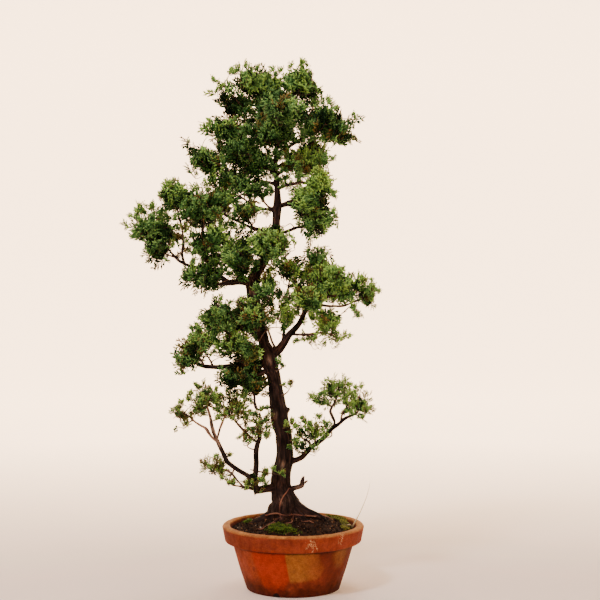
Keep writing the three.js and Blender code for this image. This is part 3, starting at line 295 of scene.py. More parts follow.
# Small tufts off the clouds and between them: x, z and reach in millimetres, and how light
# their green is, or rust from 0.75 up. A fifth number is y; without it a tuft grows at the
# depth of the nearest limb.
TUFTS = [
    (-3, 260, 9, 0.55, -12), (-18, 287, 7, 0.4, -6), (-64, 368, 8, 0.45, -10), (-15, 147, 7, 0.5, -21),
    (-24, 150, 6, 0.5, -20), (-9, 207, 8, 0.62, -18), (-82, 134, 9, 0.5, -21), (33, 217, 8, 0.5, -10),
    (14, 214, 9, 0.5, -12), (86, 257, 8, 0.6, -4), (-141, 274, 6, 0.4, -3), (-212, 462, 7, 0.5, 0),
    (82, 350, 9, 0.5, -3), (40, 434, 8, 0.5, -9), (-4, 199, 6, 0.5, -13), (-60, 216, 6, 0.5, -12),
    (42, 193, 5, 0.5, -13), (76, 598, 8, 0.5, -2), (-134, 562, 11, 0.42, 0), (-119, 592, 7, 0.5, -8),
    (-100, 643, 8, 0.5, 0), (10, 662, 9, 0.55), (-3, 662, 7, 0.5), (-60, 661, 8, 0.6), (-46, 658, 8, 0.6),
    (-79, 654, 9, 0.55), (-25, 657, 7, 0.5), (-16, 655, 7, 0.5), (14, 612, 12, 0.3), (8, 604, 9, 0.25),
    (24, 614, 10, 0.4), (44, 618, 8, 0.5), (-57, 592, 10, 0.3), (-57, 618, 8, 0.3), (-58, 582, 9, 0.25),
    (-94, 563, 11, 0.45), (-88, 552, 9, 0.35), (-11, 561, 9, 0.2), (2, 568, 9, 0.25), (14, 573, 9, 0.3),
    (27, 575, 9, 0.3), (42, 570, 9, 0.35), (56, 568, 9, 0.4), (68, 571, 8, 0.45), (-72, 536, 9, 0.35),
    (-61, 531, 9, 0.3), (-49, 527, 9, 0.3), (-102, 521, 10, 0.45), (-112, 511, 10, 0.5),
    (-124, 506, 9, 0.5), (-9, 523, 11, 0.35), (5, 524, 12, 0.42), (18, 528, 10, 0.8), (-10, 533, 9, 0.8),
    (-15, 549, 8, 0.3), (-29, 521, 8, 0.3), (-27, 505, 7, 0.3), (-4, 512, 8, 0.4), (-90, 468, 11, 0.4),
    (-76, 463, 11, 0.35), (-63, 458, 9, 0.4), (-82, 450, 10, 0.4), (-57, 447, 9, 0.35),
    (-34, 476, 8, 0.35), (-73, 492, 8, 0.4), (-139, 459, 11, 0.84), (-128, 449, 11, 0.35),
    (-143, 446, 10, 0.88), (-123, 462, 10, 0.4), (-132, 472, 9, 0.35), (-127, 415, 10, 0.4),
    (-135, 430, 9, 0.8), (-145, 422, 8, 0.86), (-100, 415, 10, 0.35), (-95, 405, 9, 0.3),
    (-80, 398, 8, 0.4), (-48, 414, 9, 0.4), (-138, 403, 7, 0.4), (-33, 402, 11, 0.82),
    (-26, 408, 9, 0.75), (-35, 394, 8, 0.84), (-30, 362, 11, 0.4), (-28, 350, 9, 0.35),
    (-37, 368, 9, 0.4), (-25, 338, 7, 0.5), (-20, 326, 6, 0.5), (-2, 384, 9, 0.4), (-9, 374, 7, 0.4),
    (4, 351, 9, 0.5), (-2, 338, 7, 0.5), (22, 350, 8, 0.45), (14, 338, 7, 0.5), (32, 352, 8, 0.45),
    (71, 372, 9, 0.45), (74, 358, 8, 0.45), (-97, 241, 10, 0.5), (-95, 226, 9, 0.45), (-86, 221, 8, 0.4),
    (-85, 252, 8, 0.45), (-90, 244, 9, 0.4), (-61, 252, 9, 0.35), (-48, 250, 8, 0.35), (-47, 221, 9, 0.4),
    (-35, 214, 8, 0.4), (-34, 247, 7, 0.25), (-33, 229, 7, 0.35), (-123, 257, 7, 0.55),
    (-131, 241, 7, 0.5), (-142, 236, 8, 0.55), (-153, 225, 7, 0.5), (-36, 145, 9, 0.5),
    (-34, 132, 6, 0.45), (-77, 134, 7, 0.5), (-82, 168, 6, 0.5), (-113, 158, 7, 0.55), (-60, 194, 7, 0.5),
    (-35, 192, 8, 0.45), (20, 209, 8, 0.45), (41, 211, 8, 0.5), (48, 208, 7, 0.45), (64, 236, 8, 0.4),
    (69, 226, 8, 0.4), (96, 226, 8, 0.5), (88, 217, 8, 0.45), (70, 259, 8, 0.6), (-3, 211, 7, 0.45),
    (-178, 483, 10, 0.5), (-195, 480, 10, 0.5), (-167, 475, 9, 0.45), (-204, 472, 7, 0.5),
    (-158, 514, 9, 0.6), (-164, 500, 8, 0.55), (-198, 447, 8, 0.4), (51, 500, 8, 0.55),
    (50, 478, 8, 0.55), (-95, 368, 10, 0.45), (-122, 331, 9, 0.45), (-114, 345, 9, 0.45),
    (-111, 377, 7, 0.4), (-95, 309, 9, 0.35), (-50, 328, 8, 0.35), (-48, 317, 8, 0.35),
    (-102, 300, 7, 0.4), (-132, 304, 8, 0.5), (60, 405, 7, 0.55), (62, 316, 7, 0.5), (48, 545, 7, 0.45),
    (-70, 657, 9, 0.5), (-95, 642, 6, 0.5), (-22, 651, 8, 0.4), (-62, 597, 8, 0.3), (-52, 592, 8, 0.3),
    (12, 568, 9, 0.3), (24, 570, 9, 0.3), (36, 571, 8, 0.35), (-31, 553, 9, 0.25), (-18, 545, 8, 0.25),
    (-36, 540, 8, 0.25), (-35, 528, 8, 0.25), (-35, 512, 8, 0.3), (-34, 500, 7, 0.3), (-15, 556, 9, 0.2),
    (-14, 530, 9, 0.3), (-15, 516, 8, 0.3), (3, 507, 9, 0.35), (12, 522, 10, 0.35), (8, 538, 10, 0.25),
    (22, 540, 10, 0.3), (-4, 548, 9, 0.2), (-24, 535, 8, 0.2, -12), (-22, 550, 9, 0.15, -12),
    (-20, 520, 6, 0.3, -12), (-152, 516, 8, 0.6), (-120, 509, 8, 0.5), (-105, 513, 7, 0.5),
    (-194, 485, 8, 0.5), (-170, 478, 8, 0.5), (-156, 470, 8, 0.5), (-146, 456, 8, 0.35),
    (-136, 441, 8, 0.35), (-128, 426, 7, 0.35), (-160, 418, 6, 0.35), (-90, 463, 8, 0.35),
    (-70, 457, 7, 0.35), (-53, 453, 7, 0.4), (-92, 408, 7, 0.35), (-83, 399, 7, 0.4), (-72, 398, 5, 0.4),
    (-80, 247, 9, 0.4), (-70, 246, 9, 0.35), (-60, 246, 8, 0.35), (-53, 237, 7, 0.35), (-53, 224, 8, 0.4),
    (-41, 227, 7, 0.4), (-35, 258, 7, 0.25), (-31, 222, 7, 0.35), (-30, 206, 7, 0.4), (-98, 215, 7, 0.5),
    (26, 343, 10, 0.45), (5, 317, 7, 0.45), (78, 354, 8, 0.45), (22, 243, 7, 0.6), (80, 255, 6, 0.6),
    (66, 224, 7, 0.5), (4, 204, 7, 0.45), (3, 190, 7, 0.45), (5, 178, 7, 0.4), (-12, 258, 5, 0.5, -10),
    (-35, 148, 7, 0.5), (-95, 168, 7, 0.5), (-128, 330, 8, 0.4), (-1, 372, 6, 0.4), (-20, 374, 8, 0.35),
    (-37, 358, 9, 0.3), (-33, 343, 9, 0.35), (-30, 330, 8, 0.35), (10, 665, 7, 0.55), (18, 662, 6, 0.55),
    (-74, 652, 7, 0.5), (48, 614, 7, 0.5), (56, 608, 6, 0.5), (38, 617, 6, 0.5), (3, 586, 7, 0.3),
    (-125, 531, 7, 0.45), (-107, 505, 6, 0.45), (-188, 477, 9, 0.45), (-150, 470, 9, 0.4),
    (-160, 476, 8, 0.4), (-153, 437, 7, 0.7), (-85, 463, 7, 0.35), (-48, 466, 6, 0.35), (-7, 448, 6, 0.4),
    (7, 463, 5, 0.4), (-22, 398, 6, 0.7), (-60, 242, 8, 0.35), (-100, 238, 9, 0.4), (-93, 232, 8, 0.4),
    (-120, 254, 8, 0.45), (-108, 250, 8, 0.4), (-94, 217, 7, 0.5), (-78, 217, 6, 0.45),
    (-60, 220, 7, 0.4), (-36, 205, 6, 0.4), (-68, 192, 6, 0.45), (-98, 165, 7, 0.5), (-90, 140, 6, 0.5),
    (-75, 135, 6, 0.5), (-42, 137, 9, 0.45), (-146, 230, 6, 0.5), (-135, 210, 6, 0.5), (72, 234, 8, 0.5),
    (74, 222, 7, 0.45), (92, 238, 7, 0.5), (84, 221, 7, 0.4), (30, 237, 7, 0.5), (47, 264, 6, 0.65),
    (42, 206, 7, 0.45), (2, 208, 8, 0.45, -14), (3, 184, 7, 0.45), (14, 183, 6, 0.45),
    (-14, 282, 7, 0.35, -4), (-18, 296, 5, 0.3, 2), (5, 316, 6, 0.4), (-93, 366, 7, 0.45),
    (-80, 364, 7, 0.4), (-13, 510, 6, 0.35), (-28, 506, 7, 0.35), (8, 515, 7, 0.4), (22, 420, 9, 0.3, -8),
    (30, 424, 9, 0.3, -9), (37, 428, 8, 0.35, -9), (28, 414, 9, 0.3, -8), (36, 418, 8, 0.35, -8),
    (41, 423, 6, 0.4, -9), (100, 384, 8, 0.6, 0), (106, 379, 6, 0.6, 0), (96, 378, 8, 0.8, 0),
    (92, 370, 9, 0.82, 0), (100, 391, 6, 0.55, 0), (88, 390, 8, 0.6, 0), (82, 397, 6, 0.6, 0),
]
LOW_TIER = 265  # below this height, in millimetres, a share of the tufts is faded
# Gaps where the light shows through: x, z and radius as seen from the viewpoint.
KEPT_OPEN = [
    (-78, 632, 8), (-72, 622, 6), (-92, 613, 7), (-102, 575, 7), (-107, 583, 5), (28, 650, 6),
    (34, 641, 5), (67, 602, 7), (75, 592, 6), (25, 433, 7), (38, 441, 5), (-133, 390, 7), (-119, 380, 6),
    (-106, 378, 5), (-95, 375, 5), (-61, 473, 4), (-13, 397, 6), (-15, 405, 5), (-112, 357, 6),
    (-108, 369, 5), (112, 389, 5), (105, 371, 5), (60, 352, 5), (45, 364, 4), (-64, 500, 5),
    (-147, 213, 7), (-113, 150, 6), (-55, 209, 5), (-49, 121, 6), (-85, 130, 5), (12, 301, 6),
    (22, 306, 7), (35, 308, 6), (47, 307, 6), (60, 306, 6), (50, 328, 6), (70, 314, 5), (95, 245, 5),
    (25, 168, 6), (10, 210, 4), (-78, 372, 6), (-62, 505, 4), (-12, 500, 5), (-10, 470, 8), (-9, 482, 7),
    (-14, 492, 5), (-42, 468, 6), (-30, 490, 4), (-38, 490, 4), (-80, 380, 6), (-68, 378, 6), (5, 452, 6),
    (0, 430, 7), (8, 440, 6), (8, 425, 5), (-137, 416, 4), (-38, 240, 5), (-98, 292, 7), (-88, 290, 6),
    (-105, 640, 6), (-86, 604, 5), (-122, 594, 6), (-137, 568, 5), (-132, 531, 6), (-116, 517, 5),
    (-178, 412, 6), (-134, 383, 8), (-24, 377, 6), (12, 420, 6), (-65, 449, 5), (-142, 318, 6),
    (-138, 328, 5), (-90, 254, 5), (26, 310, 7), (40, 309, 6), (53, 306, 6), (66, 314, 5), (21, 329, 5),
    (50, 329, 7), (-148, 218, 7), (86, 590, 6), (-66, 504, 6), (-54, 519, 5), (-24, 330, 7),
    (-24, 320, 8), (-48, 118, 5), (-40, 118, 5), (-57, 123, 4),
]


# ---- Small helpers ----
def from_hex(code):
    """A linear RGBA colour from an sRGB hex code."""
    parts = [int(code[i : i + 2], 16) / 255 for i in (1, 3, 5)]
    linear = [p / 12.92 if p <= 0.04045 else ((p + 0.055) / 1.055) ** 2.4 for p in parts]
    return (*linear, 1.0)


def draw_for(name):
    """Random numbers that are the same in every run."""
    return np.random.default_rng(zlib.crc32(name.encode()))


def unit(vectors):
    return vectors / np.maximum(np.linalg.norm(vectors, axis=-1, keepdims=True), 1e-12)


def dots(first, second):
    """The dot product of each vector of one list with its partner in the other."""
    return np.einsum("ij,ij->i", first, second)


def square_to(flats, axes):
    """The flat sides turned so that they stand square to the axes."""
    return unit(flats - axes * dots(flats, axes)[:, None])


NOISE_CELLS = 32
NOISE_TABLE = draw_for("noise").random((NOISE_CELLS,) * 3)


def noise(points, size, seed=0):
    """Smooth noise from 0 to 1 at some points, with a feature about every size metres."""
    place = np.asarray(points) / size + seed * 7.31
    low = np.floor(place).astype(int)
    part = place - low
    part = part * part * (3 - 2 * part)
    total = np.zeros(len(place))
    for corner in np.ndindex(2, 2, 2):
        weight = np.prod(np.where(corner, part, 1 - part), axis=1)
        total += weight * NOISE_TABLE[tuple(((low + corner) % NOISE_CELLS).T)]
    return total


def gather(shapes):
    """One list of points and one of triangles from many."""
    starts = np.cumsum([0] + [len(points) for points, _ in shapes[:-1]])
    faces = [triangles + start for (_, triangles), start in zip(shapes, starts)]
    return np.vstack([points for points, _ in shapes]), np.vstack(faces)


def build(name, points, triangles, material, smooth=True):
    """A mesh object from arrays of points and triangles."""
    mesh = bpy.data.meshes.new(name)
    mesh.vertices.add(len(points))
    mesh.vertices.foreach_set("co", np.asarray(points, np.float32).ravel())
    mesh.loops.add(3 * len(triangles))
    mesh.loops.foreach_set("vertex_index", np.asarray(triangles, np.int32).ravel())
    mesh.polygons.add(len(triangles))
    mesh.polygons.foreach_set("loop_start", np.arange(len(triangles), dtype=np.int32) * 3)
    mesh.update(calc_edges=True)
    mesh.polygons.foreach_set("use_smooth", np.full(len(triangles), smooth))
    mesh.materials.append(material)
    piece = bpy.data.objects.new(name, mesh)
    bpy.context.collection.objects.link(piece)
    return piece


def give_attribute(piece, name, values):
    """Stores one number or one vector for each point of a piece, for its material."""
    kind, field = ("FLOAT", "value") if values.ndim == 1 else ("FLOAT_VECTOR", "vector")
    attribute = piece.data.attributes.new(name, kind, "POINT")
    attribute.data.foreach_set(field, values.astype(np.float32).ravel())


def read(elements, field, kind):
    """One row of three numbers for each element of a mesh."""
    values = np.zeros(3 * len(elements), kind)
    elements.foreach_get(field, values)
    return values.reshape(-1, 3)


def arrays_of(mesh):
    """The points and the triangles of a mesh."""
    mesh.calc_loop_triangles()
    points = read(mesh.vertices, "co", np.float32).astype(float)
    return points, read(mesh.loop_triangles, "vertices", np.int32)


def normals_of(mesh):
    return read(mesh.vertices, "normal", np.float32).astype(float)


def place_vertices(mesh, points):
    mesh.vertices.foreach_set("co", points.astype(np.float32).ravel())
    mesh.update()


def search_tree(points, faces):
    return BVHTree.FromPolygons(points.tolist(), faces.tolist())


def met_from_front(tree, x, z, lift):
    """Where the line from the viewpoint through (x, 0, z) meets a surface, less a lift."""
    along = unit(np.array((x * MM, 0, z * MM)) - VIEWPOINT)
    hit = tree.ray_cast(Vector(VIEWPOINT), Vector(along))
    if hit[0] is None:
        raise RuntimeError(f"nothing lies behind ({x}, {z})")
    return np.array(hit[0]) - along * lift


def flat_distance(seen, x, z):
    """How far some points on the plane y = 0 lie from (x, z), which is in millimetres."""
    return np.hypot(seen[:, 0] - x * MM, seen[:, 2] - z * MM)


def seen_from_front(points):
    """Where the lines from the viewpoint to some points cross the plane y = 0."""
    sight = points - VIEWPOINT
    return VIEWPOINT - sight * (VIEWPOINT[1] / sight[:, 1:2])


def light_passes(tips):
    """False for the points that would close one of the gaps."""
    seen = seen_from_front(tips)
    free = np.ones(len(tips), bool)
    for x, z, reach in KEPT_OPEN:
        free &= flat_distance(seen, x, z) > reach * MM
    return free


def clear_selection():
    if bpy.context.object and bpy.context.object.mode != "OBJECT":
        bpy.ops.object.mode_set(mode="OBJECT")
    bpy.ops.object.select_all(action="DESELECT")


def make_active(piece):
    clear_selection()
    piece.select_set(True)
    bpy.context.view_layer.objects.active = piece


def apply_modifier(piece, kind, **settings):
    make_active(piece)
    modifier = piece.modifiers.new(kind.title(), kind)
    for name, value in settings.items():
        setattr(modifier, name, value)
    bpy.ops.object.modifier_apply(modifier=modifier.name)


def spun(name, profile, segments, material):
    """A body from a profile of (radius, height) points turned about the Z axis. It is closed
    where the profile starts and ends on the axis."""
    clear_selection()
    bpy.ops.mesh.primitive_circle_add(vertices=len(profile), radius=1)
    piece = bpy.context.object
    piece.name = piece.data.name = name
    for vertex, (radius, height) in zip(piece.data.vertices, profile):
        vertex.co = (radius, 0, height)
    bpy.ops.object.mode_set(mode="EDIT")
    bpy.ops.mesh.select_all(action="SELECT")
    work = bmesh.from_edit_mesh(piece.data)
    ends = {0, len(profile) - 1}
    closing = [e for e in work.edges if {v.index for v in e.verts} == ends]
    bmesh.ops.delete(work, geom=closing, context="EDGES")
    bmesh.update_edit_mesh(piece.data)
    bpy.ops.mesh.select_all(action="SELECT")
    bpy.ops.mesh.spin(
        steps=segments, angle=2 * math.pi, center=(0, 0, 0), axis=(0, 0, 1), use_auto_merge=True
    )
    bpy.ops.mesh.select_all(action="SELECT")
    bpy.ops.mesh.remove_doubles(threshold=SAME_PLACE)
    bpy.ops.mesh.normals_make_consistent(inside=False)
    bpy.ops.object.mode_set(mode="OBJECT")
    piece.data.materials.clear()
    piece.data.materials.append(material)
    bpy.ops.object.shade_smooth_by_angle(angle=CREASE)
    return piece


def hand_over(piece, slot, *nodes):
    """Attaches a finished piece to the root body and hides the frame nodes it stands for. The slot is not
    used.
    """
    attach(piece, "root")
    if nodes:
        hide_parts(*nodes)


# ---- Limbs as tubes ----
KINK = 1.1 * MM  # how far grown wood strays from a smooth curve
FINE_STEPS = 12  # steps on the smooth curve between two points of a route
CHUNK = 4000  # points looked up at a time, to save memory
LENGTHENED = 10  # how many times longer than wide the bark's pattern is


def follow(route, pitch, kink=0):
    """Rings about pitch apart on the smooth curve through a limb's points. Returns their
    centres, radii, tangents, side directions and lengths along the limb. A kink moves the
    centres by noise, which is the same for every limb at one place."""
    route = np.array(route, float) * MM
    places, radii = route[:, :3], route[:, 3]
    padded = np.vstack([2 * places[0] - places[1], places, 2 * places[-1] - places[-2]])
    spans = np.linalg.norm(np.diff(padded, axis=0), axis=1) ** 0.5
    part = np.linspace(0, 1, FINE_STEPS, endpoint=False)[:, None]
    fine, thick = [], []
    for i in range(len(places) - 1):
        p0, p1, p2, p3 = padded[i : i + 4]
        d0, d1, d2 = spans[i : i + 3]
        leave = ((p1 - p0) / d0 - (p2 - p0) / (d0 + d1) + (p2 - p1) / d1) * d1
        arrive = ((p2 - p1) / d1 - (p3 - p1) / (d1 + d2) + (p3 - p2) / d2) * d1
        bend = 3 * (p2 - p1) - 2 * leave - arrive
        twist = 2 * (p1 - p2) + leave + arrive
        fine.append(p1 + leave * part + bend * part**2 + twist * part**3)
        thick.append(radii[i] + (radii[i + 1] - radii[i]) * part[:, 0])
    fine = np.vstack(fine + [places[-1:]])
    thick = np.append(np.concatenate(thick), radii[-1])
    along = np.append(0, np.cumsum(np.linalg.norm(np.diff(fine, axis=0), axis=1)))
    want = np.linspace(0, along[-1], max(3, round(along[-1] / pitch)) + 1)
    centres = np.column_stack([np.interp(want, along, fine[:, k]) for k in range(3)])
    if kink:
        strays = [noise(centres, 0.013, 31 + k) - 0.5 for k in range(3)]
        centres = centres + 2 * kink * np.column_stack(strays)
    tangents = unit(np.gradient(centres, axis=0))
    side = unit(np.cross(tangents[0], (0.3, 1, 0.2)))
    sides = []
    for tangent in tangents:
        side = unit(side - tangent * (side @ tangent))
        sides.append(side)
    return centres, np.interp(want, along, thick), tangents, np.array(sides), want


def tube(centres, radii, tangents, sides, around):
    """A closed round tube through rings, with a low cone at each end."""
    across = np.cross(tangents, sides)
    angles = (np.arange(around) * 2 * math.pi / around)[None, :, None]
    ring = np.cos(angles) * sides[:, None] + np.sin(angles) * across[:, None]
    body = (centres[:, None] + radii[:, None, None] * ring).reshape(-1, 3)
    ends = [centres[0] - tangents[0] * radii[0] * 0.4, centres[-1] + tangents[-1] * radii[-1]]
    last = len(centres) - 1
    turn = np.arange(around)
    after = (turn + 1) % around
    rows = np.arange(last)[:, None] * around
    low, beside = rows + turn, rows + after
    walls = [[low, beside, beside + around], [low, beside + around, low + around]]
    walls = np.moveaxis(np.array(walls), 1, -1).reshape(-1, 3)
    foot, tip = len(body), len(body) + 1
    bottom = np.stack([np.full(around, foot), after, turn], -1)
    top = np.stack([np.full(around, tip), turn + last * around, after + last * around], -1)
    return np.vstack([body, ends]), np.concatenate([walls, bottom, top])


def bark_place(points, spine):
    """Where points lie round and along the limb they belong to, as a pattern needs it: the
    place on a rod of the limb's own radius, with the length shrunk. Also returns that radius."""
    centres, radii, tangents, sides, along = spine
    place = np.zeros_like(points)
    size = np.zeros(len(points))
    for start in range(0, len(points), CHUNK):
        part = slice(start, start + CHUNK)
        away = np.linalg.norm(points[part, None] - centres[None], axis=2) - radii[None]
        closest = np.argmin(away, axis=1)
        offset = points[part] - centres[closest]
        x = dots(offset, sides[closest])
        y = dots(offset, np.cross(tangents[closest], sides[closest]))
        length = along[closest] + dots(offset, tangents[closest])
        reach = np.maximum(np.hypot(x, y), SAME_PLACE)
        size[part] = wide = radii[closest]
        place[part] = np.column_stack([x / reach * wide, y / reach * wide, length / LENGTHENED])
    return place, size


# ---- Materials ----
def plug(node, inputs):
    """Fills sockets of a shader node with plain values, colours in hex code or other sockets.
    The inputs are a dictionary, or a list for the first sockets."""
    pairs = inputs.items() if isinstance(inputs, dict) else enumerate(inputs)
    for socket, value in pairs:
        if isinstance(value, bpy.types.NodeSocket):
            node.id_data.links.new(value, node.inputs[socket])
        else:
            plain = from_hex(value) if isinstance(value, str) else value
            node.inputs[socket].default_value = plain


def add_node(tree, kind, inputs, stops=(), out=None, **settings):
    """Adds one shader node and returns its output: the named one, or else the first in use.
    settings are the node's own properties, and stops the places and colours of its ramp."""
    made = tree.nodes.new("ShaderNode" + kind)
    for name, value in settings.items():
        setattr(made, name, value)
    plug(made, inputs)
    if stops:
        ramp = made.color_ramp.elements
        while len(ramp) < len(stops):
            ramp.new(1)
        for element, (place, colour) in zip(ramp, stops):
            colour = from_hex(colour) if isinstance(colour, str) else colour
            element.position = place
            element.color = (*colour[:3], 1)
    return made.outputs[out] if out else next(o for o in made.outputs if o.enabled)


def new_material(name):
    """A material, its Principled shader, and the function that adds a node to its tree."""
    material = bpy.data.materials.new(name)
    material.use_nodes = True
    shader = next(n for n in material.node_tree.nodes if n.type == "BSDF_PRINCIPLED")
    return material, shader, functools.partial(add_node, material.node_tree)


def lay_over(add, base, *layers, blend="MIX"):
    """A base with other colours laid over it in turn, each as how strongly and what colour."""
    for factor, colour in layers:
        base = add("Mix", {0: factor, 6: base, 7: colour}, data_type="RGBA", blend_type=blend)
    return base


def per(size_mm):
    """The scale that gives a pattern on metres a feature about every size_mm millimetres."""
    return 1000 / size_mm


def near(add, place, centre, reach, edge, wander, squash=1.0):
    """1 inside a ball about a centre and 0 outside it. The ball may be squashed along Z, its
    outline wanders with some noise, and edge is the width over which it fades."""
    away = add("VectorMath", [place, centre], operation="SUBTRACT")
    away = add("VectorMath", [away, (1, 1, squash)], operation="MULTIPLY")
    away = add("VectorMath", [away], operation="LENGTH")
    torn = add("Math", [wander, WANDER, away], operation="MULTIPLY_ADD")
    reach += WANDER / 2
    return add("MapRange", [torn, reach + edge, reach, 0, 1], interpolation_type="SMOOTHSTEP")


def terracotta(settings):
    """Low-fired terracotta, thrown and unglazed: matt, porous, stained by water and lime."""
    material, shader, add = new_material("unglazed terracotta")
    clay, ochre = np.array(settings.clay[:3]), settings.ochre[:]
    place = add("TexCoord", [], out="Object")
    across, _, height = add("SeparateXYZ", [place]).node.outputs
    broad = add("TexNoise", {"Vector": place, "Scale": per(38), "Detail": 3})
    blotch = add("TexNoise", {"Vector": place, "Scale": per(11), "Detail": 4})
    wander = add("TexNoise", {"Vector": place, "Scale": per(26), "Detail": 5, "Roughness": 0.35})
    grain = add("TexNoise", {"Vector": place, "Scale": per(1.6), "Detail": 4, "Roughness": 0.6})
    fired = add("ValToRGB", [broad], [(0.32, 0.42 * clay), (0.47, 0.78 * clay), (0.6, clay)])
    upper = add("MapRange", [height, 0.059, 0.062, 0, 0.55])
    sooty = add("MapRange", [across, -0.06, -0.02, 1, 0])
    sooty = add("Math", [sooty, upper], operation="MULTIPLY")
    # Water runs down the wall and leaves dark streaks.
    long = add("Mapping", {"Vector": place, "Scale": (1, 1, 0.22)})
    drip = add("TexNoise", {"Vector": long, "Scale": per(8), "Detail": 4})
    soak = add("MapRange", [drip, 0.5, 0.66, 0, 0.55])
    # The front of the wall fired redder left of the middle and ochre right of it. Further right it is
    # painted darker: partly darker clay, partly painted shade on the side turned from the light.
    red = near(add, place, (-0.027, -0.064, 0.037), 0.021, 0.009, wander, 0.85)
    # Painted shade, with darker clay: the right of the wall darkens.
    turned = add("MapRange", [across, 0.026, 0.046, 0, 0.8])
    below = add("MapRange", [height, 0.056, 0.06, 1, 0])
    turned = add("Math", [turned, below], operation="MULTIPLY")
    yellow = near(add, place, (0.0115, -0.066, 0.0405), 0.0235, 0.006, wander, 1.12)
    slant = add("Math", [height, 0.17, across], operation="MULTIPLY_ADD")
    slant = add("MapRange", [slant, -0.0012, 0.0008, 0, 1])
    yellow = add("Math", [yellow, slant], operation="MULTIPLY")
    fade = add("MapRange", [across, 0.012, 0.036, 1, 0.25])
    yellow = add("Math", [yellow, fade], operation="MULTIPLY")
    side = near(add, place, (0.062, -0.048, 0.05), 0.004, 0.016, wander, 0.8)
    behind = near(add, place, (-0.02, 0.072, 0.04), 0.026, 0.006, wander)
    # The wall is darker towards the foot, below a wavy line, and a small dark spot sits at the front of
    # the foot's edge.
    foot_line = add("Math", [blotch, -0.034, height], operation="MULTIPLY_ADD")
    foot = add("MapRange", [foot_line, -0.012, 0.006, 0.8, 0])
    foot_spot = near(add, place, (-0.02, -0.056, 0), 0.004, 0.003, blotch, 1.6)
    # Lime dried on the worn rim and in scratches on the collar.
    rim = add("MapRange", [height, 0.0783, 0.0808, 0, 1.7])
    worn = add("Math", [rim, blotch], operation="MULTIPLY")
    wild = add("TexNoise", {"Vector": place, "Scale": per(4), "Detail": 2}, out="Color")
    bent = add("VectorMath", [wild, (0.009, 0.009, 0.009), place], operation="MULTIPLY_ADD")
    bent = add("VectorMath", [bent, (1, 1, 0.55)], operation="MULTIPLY")
    cells = {"Vector": bent, "Scale": per(6.5)}
    cells = add("TexVoronoi", cells, feature="DISTANCE_TO_EDGE")
    thread = add("MapRange", [cells, 0.015, 0.05, 0.7, 0])
    limed = []
    for centre, reach in (((0.024, -0.086, 0.07), 0.0065), ((0.058, -0.065, 0.074), 0.002)):
        scratched = near(add, place, centre, reach, 0.002, blotch, 0.7)
        scratched = add("Math", [scratched, thread], operation="MULTIPLY")
        limed.append((scratched, "#d0a06e"))
    # Soil and algae darken the damp inside, and a shadow is painted on the wall under the collar.
    # The damp attribute also holds the painted shadow under the collar.
    damp = add("Attribute", [], out="Fac", attribute_name="damp")
    base = lay_over(
        add, fired, (upper, "#7a301a"), (sooty, "#5c2816"), (soak, "#561a05"), (red, "#922e13"),
        (turned, "#4f1c0b"), (yellow, ochre), (side, "#73431f"), (behind, ochre),
        (foot, "#330f03"), (foot_spot, "#120804"), (worn, "#a5713c"), *limed, (damp, "#1a0803"),
    )
    speckle = add("MapRange", [grain, 0.3, 0.7, 0.72, 1.26])
    mottle = add("TexNoise", {"Vector": place, "Scale": per(4.5), "Detail": 5, "Roughness": 0.7})
    mottle = add("MapRange", [mottle, 0.34, 0.62, 0.72, 1.16])
    base = lay_over(add, base, (1, speckle), (1, mottle), blend="MULTIPLY")
    rough = add("MapRange", [blotch, 0.3, 0.7, 0.72, 0.92])
    bump = add("Bump", {"Height": grain, "Strength": 0.25, "Distance": 0.6 * MM})
    plug(shader, {"Base Color": base, "Roughness": rough, "Normal": bump, GLOSS: 0.12})
    return material


def bark(name, settings):
    """Cypress bark: thin fibrous strips along the limb, near black when damp, red where torn."""
    material, shader, add = new_material(name)
    dark = np.array(settings.bark[:3])
    along = add("Attribute", [], out="Vector", attribute_name="bark")
    place = add("TexCoord", [], out="Object")
    fibre = add("TexNoise", {"Vector": along, "Scale": per(1.3), "Detail": 5, "Roughness": 0.62})
    strip = add("TexNoise", {"Vector": along, "Scale": per(3.6), "Detail": 3})
    cloud = add("TexNoise", {"Vector": place, "Scale": per(26), "Detail": 3})
    stops = [(0.3, 0.25 * dark), (0.47, dark), (0.62, "#32231d"), (0.8, "#584840")]
    base = add("ValToRGB", [fibre], stops)
    strips = add("MapRange", [strip, 0.38, 0.6, 0.3, 1.6])
    base = lay_over(add, base, (1, strips), blend="MULTIPLY")
    weathered = add("MapRange", [cloud, 0.5, 0.72, 0, 0.5])
    torn = add("Attribute", [], out="Fac", attribute_name="torn")
    torn = add("Math", [torn, strips], operation="MULTIPLY", use_clamp=True)
    inner = add("ValToRGB", [fibre], [(0.3, "#3a261d"), (0.5, settings.torn[:]), (0.7, "#b39b86")])
    base = lay_over(add, base, (weathered, "#302622"), (torn, inner))
    height = lay_over(add, fibre, (0.4, strip))
    bump = add("Bump", {"Height": height, "Strength": 0.8, "Distance": 1.6 * MM})
    plug(shader, {"Base Color": base, "Roughness": 0.86, "Normal": bump, GLOSS: 0.08})
    return material


def root_skin():
    """Skin of thin bare roots: reddish tan, with darker corky rings and clinging soil."""
    material, shader, add = new_material("root skin")
    along = add("Attribute", [], out="Vector", attribute_name="bark")
    rings = add("TexNoise", {"Vector": along, "Scale": per(2.2), "Detail": 4})
    base = add("ValToRGB", [rings], [(0.34, "#28160f"), (0.47, "#704534"), (0.66, "#a98064")])
    bump = add("Bump", {"Height": rings, "Strength": 0.4, "Distance": 0.4 * MM})
    plug(shader, {"Base Color": base, "Roughness": 0.7, "Normal": bump, GLOSS: 0.25})
    return material


